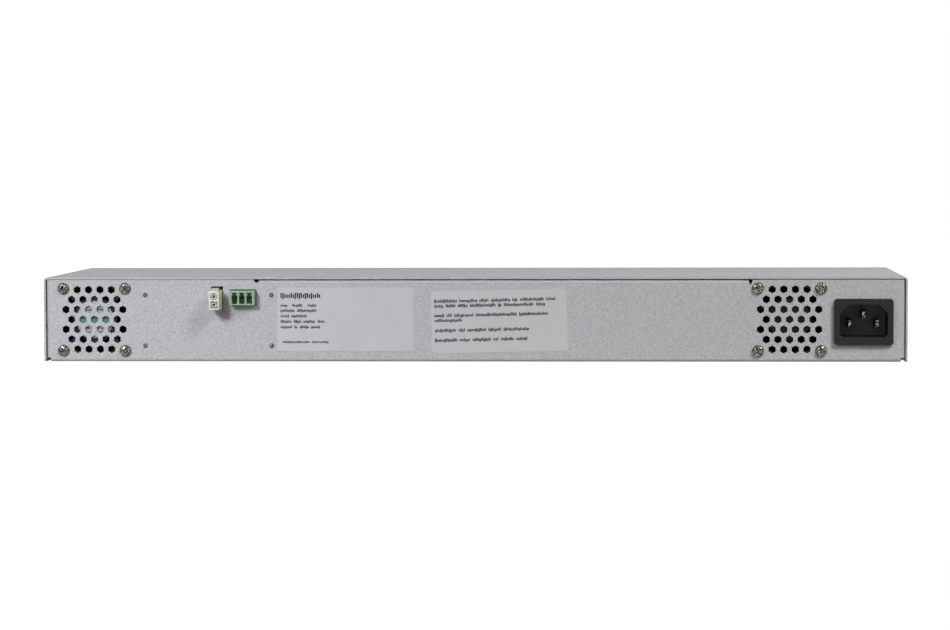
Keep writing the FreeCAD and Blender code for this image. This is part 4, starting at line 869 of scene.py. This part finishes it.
RATING_ROWS = (
    PrintRow(4.2, 3.0, ((1.8, 22.6),)),
    PrintRow(9.1, 1.6, ((1.8, 5.4), (7.8, 13.2), (15.9, 20.4))),
    PrintRow(11.8, 1.6, ((1.8, 9.2), (10.3, 20.4))),
    PrintRow(14.6, 1.6, ((1.8, 6.3), (7.3, 15.4))),
    PrintRow(17.4, 1.6, ((1.8, 7.6), (8.7, 12.4), (13.5, 19.5), (20.8, 24.6))),
    PrintRow(20.2, 1.6, ((1.8, 7.8), (8.9, 10.6), (11.7, 16.4), (17.5, 22.2))),
    PrintRow(27.9, 1.2, ((2.9, 16.8), (17.9, 26.6))),
)
NOTICE_ROWS = (
    PrintRow(5.9, 1.9, (
        (1.9, 13.8), (14.9, 24.1), (25.2, 30.0), (31.1, 40.9), (42.0, 44.7), (45.9, 58.2),
        (59.4, 64.1),
    )),
    PrintRow(8.4, 1.9, (
        (1.9, 6.7), (7.9, 12.9), (14.0, 19.1), (20.2, 33.5), (34.7, 36.4), (37.6, 52.9),
        (54.1, 58.8),
    )),
    PrintRow(13.3, 1.9, ((1.9, 7.0), (8.2, 11.1), (12.2, 22.0), (23.1, 44.1), (45.3, 60.0))),
    PrintRow(15.8, 1.9, ((1.9, 16.1),)),
    PrintRow(20.9, 1.9, ((1.9, 12.9), (14.1, 17.6), (18.7, 28.2), (29.4, 35.9), (37.1, 50.3))),
    PrintRow(25.9, 1.9, (
        (1.9, 13.5), (14.7, 20.0), (21.2, 30.6), (31.8, 34.4), (35.9, 42.3), (43.5, 49.4),
    )),
)
HUB_ROWS = (
    PrintRow(2.6, 1.1, ((6.0, 13.2),)),
    PrintRow(4.6, 1.3, ((3.6, 8.6), (9.4, 15.6))),
    PrintRow(9.0, 1.4, ((1.6, 6.2), (7.0, 11.8), (12.6, 17.6))),
    PrintRow(14.2, 1.3, ((2.8, 7.4), (8.2, 12.0), (12.8, 16.4))),
    PrintRow(16.3, 1.1, ((5.0, 9.6), (10.4, 14.2))),
)


# Sub-assemblies

@dataclass
class CrossRecess:
    """Tapering cross-shaped driver recess; it starts a little outside the head's face."""

    reach: float = 1.55 * MM
    width: float = 0.62 * MM
    depth: float = 1.2 * MM
    outside: float = 0.5 * MM
    mouth_share: float = 1.05
    floor_share: float = 0.45

    def cutter(self, face: Vector, turn: float) -> Piece:
        """Solid cross that cuts the recess.

        Args:
            face: Middle of the head's outer face.
            turn: Angle of the cross in radians.

        Returns:
            A temporary object for cutting.
        """
        form = Form()
        levels = ((-self.outside, self.mouth_share), (self.depth, self.floor_share))
        for along, across in cross_arms(Vector((1, 0, 0)), Vector((0, 0, 1)), turn):
            outlines = []
            for level, share in levels:
                middle = face + Vector((0.0, level, 0.0))
                reach, half = along * (self.reach * share), across * (self.width / 2.0)
                outlines.append([middle + reach * a + half * b for a, b in SQUARE])
            form.prism(*outlines)
        return form.close("recess_cutter")


@dataclass
class FanPair(SubAssembly):
    """Two 40 mm fans, their eight domed screws, and the sticker on the left motor base."""

    nodes: tuple[str, ...] = ("fan_screws", "fan_plugs", *(
        side + "_fan_" + part for side in ("left", "right")
        for part in ("frame", "bearing", "stator", "rotor", "shaft", "lead")
    ))
    hole_span: float = 32.0 * MM
    shank_radius: float = 1.5 * MM
    shank_length: float = 10.0 * MM
    head_radius: float = 2.95 * MM
    head_height: float = 2.1 * MM
    head_skirt: float = 0.8 * MM
    foot_inset: float = 0.1 * MM
    foot_height: float = 0.12 * MM
    dome_steps: int = 8
    dome_fullness: float = 0.62
    head_facets: int = 36
    head_sharp: float = 38.0
    first_turn: float = 0.55
    next_turn: float = 1.13
    recess: CrossRecess = field(default_factory=CrossRecess)
    sticker_radius: float = 9.6 * MM
    sticker_thick: float = 0.12 * MM
    sticker_seat: float = 0.3 * MM
    sticker_strips: int = 24
    strip_half_least: float = 0.02 * MM
    band_half: float = 2.9 * MM
    print_seed: int = 3

    def profile(self) -> list[Pair]:
        """Rings of one screw.

        Returns:
            Radius and place along Y of each ring, from its point to the top of its dome.
        """
        rings = [
            (0.0, self.shank_length), (self.shank_radius, self.shank_length),
            (self.shank_radius, 0.0), (self.head_radius - self.foot_inset, 0.0),
            (self.head_radius, -self.foot_height), (self.head_radius, -self.head_skirt),
        ]
        for step in range(1, self.dome_steps):
            angle = math.pi / 2.0 * step / self.dome_steps
            radius = self.head_radius * math.cos(angle) ** self.dome_fullness
            rise = (self.head_height - self.head_skirt) * math.sin(angle)
            rings.append((radius, -self.head_skirt - rise))
        rings.append((0.0, -self.head_height))
        return rings

    def screw_places(self) -> list[Vector]:
        """Point of the rear wall's face under each screw's head.

        Returns:
            Four points for the left fan, then four for the right one.
        """
        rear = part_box("base_tray")[0].y
        places = []
        for fan in ("left_fan_frame", "right_fan_frame"):
            low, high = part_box(fan)
            middle = (low + high) / 2.0
            for side in (-1, 1):
                for level in (-1, 1):
                    x = middle.x + side * self.hole_span / 2.0
                    z = middle.z + level * self.hole_span / 2.0
                    places.append(Vector((x, rear, z)))
        return places

    def screw(self, place: Vector, turn: float) -> bpy.types.Mesh:
        """Turn one screw and cut its recess.

        Args:
            place: Point of the wall's face under its head.
            turn: Angle of its recess in radians.

        Returns:
            Its mesh.
        """
        form = Form()
        form.lathe(self.profile(), place, self.head_facets)
        blank = form.close("screw_blank")
        cutter = self.recess.cutter(place - Vector((0.0, self.head_height, 0.0)), turn)
        cut = blank.modifiers.new("recess", "BOOLEAN")
        cut.object = cutter
        cut.operation = "DIFFERENCE"
        cut.solver = "EXACT"
        cut.use_self = True
        done = worked_mesh(blank)
        for leftover in (blank, cutter):
            bpy.data.objects.remove(leftover)
        return done

    def screws(self) -> None:
        """Join the eight screws into the piece that stands for their node."""
        joined = bmesh.new()
        for number, place in enumerate(self.screw_places()):
            joined.from_mesh(self.screw(place, self.first_turn + self.next_turn * number))
        looks = [self.book.built["screw_steel"]]
        piece = Form(joined).finish("fan_screw_set", looks, Body.ENCLOSURE)
        smooth(piece.data, self.head_sharp)
        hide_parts("fan_screws")

    def sticker(self) -> None:
        """Disc cut into level strips, so that its band is part of the mesh, with faint print."""
        low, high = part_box("left_fan_frame")
        middle = (low + high) / 2.0
        seat = low.y + self.sticker_seat
        front = seat - self.sticker_thick
        radius = self.sticker_radius
        strips = self.sticker_strips
        levels = {-radius + 2.0 * radius * strip / strips for strip in range(strips + 1)}
        levels = sorted(levels | {-self.band_half, self.band_half})
        form = Form()
        edges = []
        for level in levels:
            half = math.sqrt(max(radius ** 2 - level ** 2, self.strip_half_least ** 2))
            edges.append([
                form.mesh.verts.new((middle.x + x, y, middle.z + level))
                for x in (-half, half) for y in (front, seat)
            ])
        for first, second, level, above in zip(edges, edges[1:], levels, levels[1:]):
            banded = abs((level + above) / 2.0) < self.band_half
            for quad in (
                [first[0], first[2], second[2], second[0]],
                [first[1], second[1], second[3], first[3]],
                [first[0], second[0], second[1], first[1]],
                [first[2], first[3], second[3], second[2]],
            ):
                form.mesh.faces.new(quad).material_index = 1 if banded else 0
        for row in (edges[0], edges[-1]):
            form.mesh.faces.new([row[0], row[1], row[3], row[2]])
        corner = Vector((middle.x - radius, front, middle.z + radius))
        PrintRun(HUB_ROWS, seed=self.print_seed).lay(form, corner, 2)
        # Paper and band are darkened as painted shade behind the grille.
        looks = [self.book.built[look] for look in ("hub_paper_painted_shade", "hub_band_painted_shade", "faint_ink")]
        form.finish("left_hub_sticker", looks, Body.ENCLOSURE)

    def add_pieces(self) -> None:
        """Screws and sticker."""
        self.screws()
        self.sticker()


@dataclass
class Case(SubAssembly):
    """Folded tray and cover, the cover's two screws, and the posts clinched into the rear wall."""

    nodes: tuple[str, ...] = ("base_tray", "top_cover", "cover_screws", "board_posts")
    cross_arm: float = 1.5 * MM
    cross_width: float = 0.55 * MM
    cross_inlay: float = 0.25 * MM
    cross_turn: float = 0.4
    post_flats: float = 5.0 * MM
    seam_radius: float = 1.2 * MM
    seam_inner: float = 0.792 * MM
    steel_radius: float = 0.768 * MM
    dot_radius: float = 0.36 * MM
    seam_proud: float = 0.015 * MM
    steel_proud: float = 0.03 * MM
    dot_proud: float = 0.035 * MM
    dot_depth: float = 0.02 * MM
    mark_depth: float = 0.05 * MM
    mark_facets: int = 32

    def painted_cross_shade(self) -> None:
        """Cross of painted recess shade, inlaid flush in each of the cover's flush screw heads."""
        low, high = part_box("cover_screws")
        middle = (low + high) / 2.0
        form = Form()
        for side, face in ((-1, low.x), (1, high.x)):
            seat = Vector((face, middle.y, middle.z))
            inward = Vector((side * self.cross_inlay, 0.0, 0.0))
            for along, across in cross_arms(Vector((0, 1, 0)), Vector((0, 0, 1)), self.cross_turn):
                arm, half = along * self.cross_arm, across * (self.cross_width / 2.0)
                outline = [seat + arm * a + half * b for a, b in SQUARE]
                form.prism(outline, [point - inward for point in outline])
        form.finish("cover_screw_recess_shade", [self.book.built["gap_painted_shade"]], Body.ENCLOSURE)

    def post_marks(self) -> None:
        """Each post's flush end: a seam ring of painted shade, the steel inside it, and a centre
        dot of painted shade.
        """
        seam = [
            (self.seam_radius, self.mark_depth), (self.seam_radius, -self.seam_proud),
            (self.seam_inner, -self.seam_proud), (self.seam_inner, self.mark_depth),
        ]
        steel = [
            (self.steel_radius, self.mark_depth), (self.steel_radius, -self.steel_proud),
            (self.dot_radius, -self.dot_proud),
        ]
        dot = [(self.dot_radius, -self.dot_proud), (0.0, self.dot_depth)]
        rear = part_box("base_tray")[0].y
        low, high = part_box("board_posts")
        inset = self.post_flats / 2.0
        form = Form()
        for x in (low.x + inset, high.x - inset):
            for z in (low.z + inset, high.z - inset):
                # Seam ring and dot are painted shade; the ring between them is the post's steel.
                for profile, material in ((seam, 0), (steel, 1), (dot, 0)):
                    form.lathe(profile, Vector((x, rear, z)), self.mark_facets, material)
        looks = [self.book.built[look] for look in ("gap_painted_shade", "mark_steel")]
        form.finish("post_marks", looks, Body.ENCLOSURE)

    def add_pieces(self) -> None:
        """Painted shade for the screw recesses, and the post marks."""
        self.painted_cross_shade()
        self.post_marks()


@dataclass
class Connectors(SubAssembly):
    """Mains inlet, power header, signal header and status lamp."""

    nodes: tuple[str, ...] = (
        "mains_inlet", "inlet_pins", "power_header", "power_pins", "signal_header",
        "signal_pins", "status_lamp",
    )
    # Header pins in tin darkened as painted shade inside their sockets and cavities.
    own_finish: dict[str, str] = field(
        default_factory=lambda: {"power_pins": "tin_painted_socket_shade", "signal_pins": "tin_painted_cavity_shade"}
    )
    inlet_rounding: float = 0.45 * MM
    pin_rounding: float = 0.2 * MM
    power_rounding: float = 0.22 * MM
    signal_rounding: float = 0.18 * MM

    def add_pieces(self) -> None:
        """Softened mouldings and blades."""
        for node, width, look, slot in (
            ("mains_inlet", self.inlet_rounding, "black_plastic", "black_plastic"),
            # Inlet pins take a finish with painted dark reflection.
            ("inlet_pins", self.pin_rounding, "nickel_painted_dark_reflection", "tinned_metal"),
            ("power_header", self.power_rounding, "natural_nylon", "natural_nylon"),
            ("signal_header", self.signal_rounding, "green_housing", "green_housing"),
        ):
            SoftenedNode(self.book, node, width, look, slot).build()


@dataclass
class Electronics(SubAssembly):
    """Boards and what they carry, with the leads inside the case."""

    nodes: tuple[str, ...] = (
        "output_board", "converter_board", "board_supports", "insulating_sheet",
        "input_terminals", "output_terminals", "input_fuse", "fuse_clips", "filter_core",
        "filter_windings", "filter_capacitor", "bulk_capacitor", "output_capacitors",
        "primary_heatsink", "secondary_heatsink", "bridge_rectifier", "power_transistors",
        "transformer_core", "transformer_winding", "output_inductor", "mains_leads",
        "earth_lead", "output_leads", "earth_tab",
    )


@dataclass
class Stickers(SubAssembly):
    """The two stickers on the rear wall, with generic print and otherwise bare."""

    nodes: tuple[str, ...] = ("rating_sticker", "notice_sticker")
    notice_tilt: float = 1.3

    def print_on(self, node: str, rows: tuple[PrintRow, ...], tilt: float) -> None:
        """Print on one sticker.

        Args:
            node: The sticker.
            rows: Its rows of print.
            tilt: Degrees that the sticker is turned in the rear wall's plane.
        """
        low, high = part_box(node)
        form = Form()
        PrintRun(rows).lay(form, Vector((low.x, low.y, high.z)), 0)
        middle = (low + high) / 2.0
        turn = Matrix.Rotation(math.radians(tilt), 4, Vector((0.0, -1.0, 0.0)))
        about = Matrix.Translation(middle) @ turn @ Matrix.Translation(-middle)
        bmesh.ops.transform(form.mesh, matrix=about, verts=form.mesh.verts)
        form.finish(node + "_print", [self.book.built["print_ink"]], Body.ENCLOSURE)

    def add_pieces(self) -> None:
        """Print on both stickers."""
        self.print_on("rating_sticker", RATING_ROWS, 0.0)
        self.print_on("notice_sticker", NOTICE_ROWS, self.notice_tilt)


# Studio

@dataclass
class SoftBox:
    """One square or oblong area light, aimed at a point; its spread is in degrees."""

    name: str
    place: Triple
    aim: Triple
    size: Pair
    power: float
    colour: Triple = (1.0, 1.0, 1.0)
    spread: float = 180.0

    def build(self) -> None:
        """Place the lamp."""
        data = bpy.data.lights.new(self.name, "AREA")
        data.shape = "RECTANGLE"
        data.size, data.size_y = self.size
        data.energy = self.power
        data.color = self.colour
        data.spread = math.radians(self.spread)
        lamp = bpy.data.objects.new(self.name, data)
        bpy.context.scene.collection.objects.link(lamp)
        lamp.location = self.place
        way = Vector(self.aim) - Vector(self.place)
        lamp.rotation_euler = way.to_track_quat("-Z", "Y").to_euler()


SOFT_BOXES = (
    SoftBox(
        "left_box", place=(-0.522, -1.1, 0.518), aim=(-0.26, -0.06, 0.02), size=(0.26, 0.26),
        power=1.0, colour=(0.93, 0.96, 1.0), spread=50.0,
    ),
    SoftBox(
        "right_box", place=(0.72, -0.85, 0.86), aim=(0.33, -0.06, 0.02), size=(0.42, 0.42),
        power=1.68, colour=(1.0, 0.995, 0.98), spread=60.0,
    ),
    SoftBox("top_box", place=(0.0, 0.1, 1.5), aim=(0.0, 0.0, 0.03), size=(1.4, 0.9), power=0.25),
    SoftBox(
        "far_left_box", place=(-1.2, 1.3, 0.5), aim=(0.0, 0.06, 0.02), size=(0.5, 0.5), power=5.8
    ),
    SoftBox(
        "far_right_box", place=(1.2, 1.3, 0.5), aim=(0.0, 0.06, 0.02), size=(0.5, 0.5), power=4.6
    ),
)


@dataclass
class Studio:
    """Pale table and surround, and the soft boxes."""

    white: float = 1.0
    fill: float = 0.01
    fill_tint: Colour = (0.95, 0.97, 1.0, 1.0)
    floor_near: float = 0.86
    floor_reach: Triple = (0.5, 0.35, 1.0)
    floor_pale: Colour = (0.5, 0.5, 0.5, 1.0)
    bounce: Colour = (0.42, 0.385, 0.37, 1.0)
    floor_drop: float = 0.3 * MM
    table_half: float = 4.0
    table_cells: int = 8

    def seen(self, tree: Tree) -> Socket:
        """Whether a ray comes from the camera, a reflection or a clear part, as 0 or 1.

        Args:
            tree: Node tree that takes the nodes.

        Returns:
            The value.
        """
        path = add_node(tree, "LightPath")
        value = path.outputs["Is Camera Ray"]
        for kind in ("Is Glossy Ray", "Is Transmission Ray"):
            either = add_node(tree, "Math", value, path.outputs[kind])
            either.operation = "MAXIMUM"
            value = either.outputs["Value"]
        return value

    def own_white(self, tree: Tree) -> Socket:
        """Strength of the table's own white, which gives way to the lamps near the unit.

        Args:
            tree: Node tree that takes the nodes.

        Returns:
            The strength.
        """
        place = add_node(tree, "TexCoord").outputs["Object"]
        scale = tuple(1.0 / reach for reach in self.floor_reach)
        mapped = add_node(tree, "Mapping", Vector=place, Scale=scale)
        near = add_node(tree, "TexGradient", Vector=mapped.outputs["Vector"])
        near.gradient_type = "SPHERICAL"
        return add_node(
            tree, "MapRange", Value=near.outputs["Fac"], To_Min=self.white, To_Max=self.floor_near
        ).outputs["Result"]

    def surround(self) -> None:
        """White where it is seen, and an even dim fill to everything else."""
        world = bpy.data.worlds.new("surround")
        bpy.context.scene.world = world
        world.use_nodes = True
        tree = world.node_tree
        tree.nodes.clear()
        dim = add_node(tree, "Background", Color=self.fill_tint, Strength=self.fill)
        pale = add_node(tree, "Background", Color=(1.0, 1.0, 1.0, 1.0), Strength=self.white)
        skies = [sky.outputs["Background"] for sky in (dim, pale)]
        shown = add_node(tree, "MixShader", self.seen(tree), *skies)
        add_node(tree, "OutputWorld", Surface=shown.outputs["Shader"])

    def table_finish(self) -> Material:
        """Matte to the lamps' bounce, white where it is seen, and clear from below.

        Returns:
            The material.
        """
        material = bpy.data.materials.new("table_white")
        material.use_nodes = True
        tree = material.node_tree
        tree.nodes.clear()
        matte = add_node(tree, "BsdfDiffuse", Color=self.bounce).outputs["BSDF"]
        pale = add_node(tree, "BsdfDiffuse", Color=self.floor_pale).outputs["BSDF"]
        glow = add_node(tree, "Emission", Strength=self.own_white(tree)).outputs["Emission"]
        lit = add_node(tree, "AddShader", pale, glow).outputs["Shader"]
        shown = add_node(tree, "MixShader", self.seen(tree), matte, lit).outputs["Shader"]
        below = add_node(tree, "NewGeometry").outputs["Backfacing"]
        clear = add_node(tree, "BsdfTransparent").outputs["BSDF"]
        sided = add_node(tree, "MixShader", below, shown, clear)
        add_node(tree, "OutputMaterial", Surface=sided.outputs["Shader"])
        return material

    def table(self) -> None:
        """Table just under the unit, which keeps the unit's soft shadow."""
        mesh = bmesh.new()
        cells = self.table_cells
        bmesh.ops.create_grid(mesh, x_segments=cells, y_segments=cells, size=self.table_half)
        table = place_mesh("table", mesh)
        table.location.z = -self.floor_drop
        table.data.materials.append(self.table_finish())

    def build(self) -> None:
        """Surround, table and lamps."""
        self.surround()
        self.table()
        for box in SOFT_BOXES:
            box.build()


@dataclass
class RearCamera:
    """Camera on the rear wall, from a little right of its middle and a little above."""

    place: Triple = (0.09072, -1.67189, 0.10928)
    pitch: float = -0.05279
    roll: float = -0.003009
    yaw: float = 0.055413
    lens: float = 120.04
    sensor: float = 36.0
    clip: Pair = (0.05, 20.0)

    def build(self) -> None:
        """Turn the three angles into the camera's axes."""
        sin_yaw, cos_yaw = math.sin(self.yaw), math.cos(self.yaw)
        sin_pitch, cos_pitch = math.sin(self.pitch), math.cos(self.pitch)
        forward = Vector((-sin_yaw * cos_pitch, cos_yaw * cos_pitch, sin_pitch))
        level = Vector((cos_yaw, sin_yaw, 0.0))
        above = level.cross(forward)
        right = level * math.cos(self.roll) + above * math.sin(self.roll)
        up = above * math.cos(self.roll) - level * math.sin(self.roll)
        data = bpy.data.cameras.new("rear_camera")
        data.lens = self.lens
        data.sensor_width = self.sensor
        data.clip_start, data.clip_end = self.clip
        camera = bpy.data.objects.new("rear_camera", data)
        bpy.context.scene.collection.objects.link(camera)
        axes = Matrix((right, up, -forward)).transposed().to_4x4()
        camera.matrix_world = Matrix.Translation(self.place) @ axes
        bpy.context.scene.camera = camera


class PowerSupply:
    """The whole unit, sub-assembly by sub-assembly."""

    def __init__(self) -> None:
        """Build the finishes and name the sub-assemblies."""
        kinds = (Case, FanPair, Connectors, Electronics, Stickers)
        book = LookBook()
        self.assemblies = [kind(book) for kind in kinds]

    def build(self) -> None:
        """Dress and add to each sub-assembly, and check that no node or body is left out."""
        for assembly in self.assemblies:
            assembly.build()
        named = [node for assembly in self.assemblies for node in assembly.nodes]
        bodies = {body.value for body in Body}
        missed = sorted(set(frame["nodes"]) ^ set(named) | set(frame["bodies"]) ^ bodies)
        if missed or len(named) != len(set(named)):
            raise ValueError("names left out, unknown or given twice: %s" % ", ".join(missed))


def main() -> None:
    """Dress the frame, add the pieces, and set up the studio and the camera."""
    logging.basicConfig(level=logging.INFO, format="%(message)s")
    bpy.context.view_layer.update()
    PowerSupply().build()
    Studio().build()
    RearCamera().build()
    bpy.context.scene.view_settings.view_transform = "Standard"


if __name__ == "__main__":
    main()
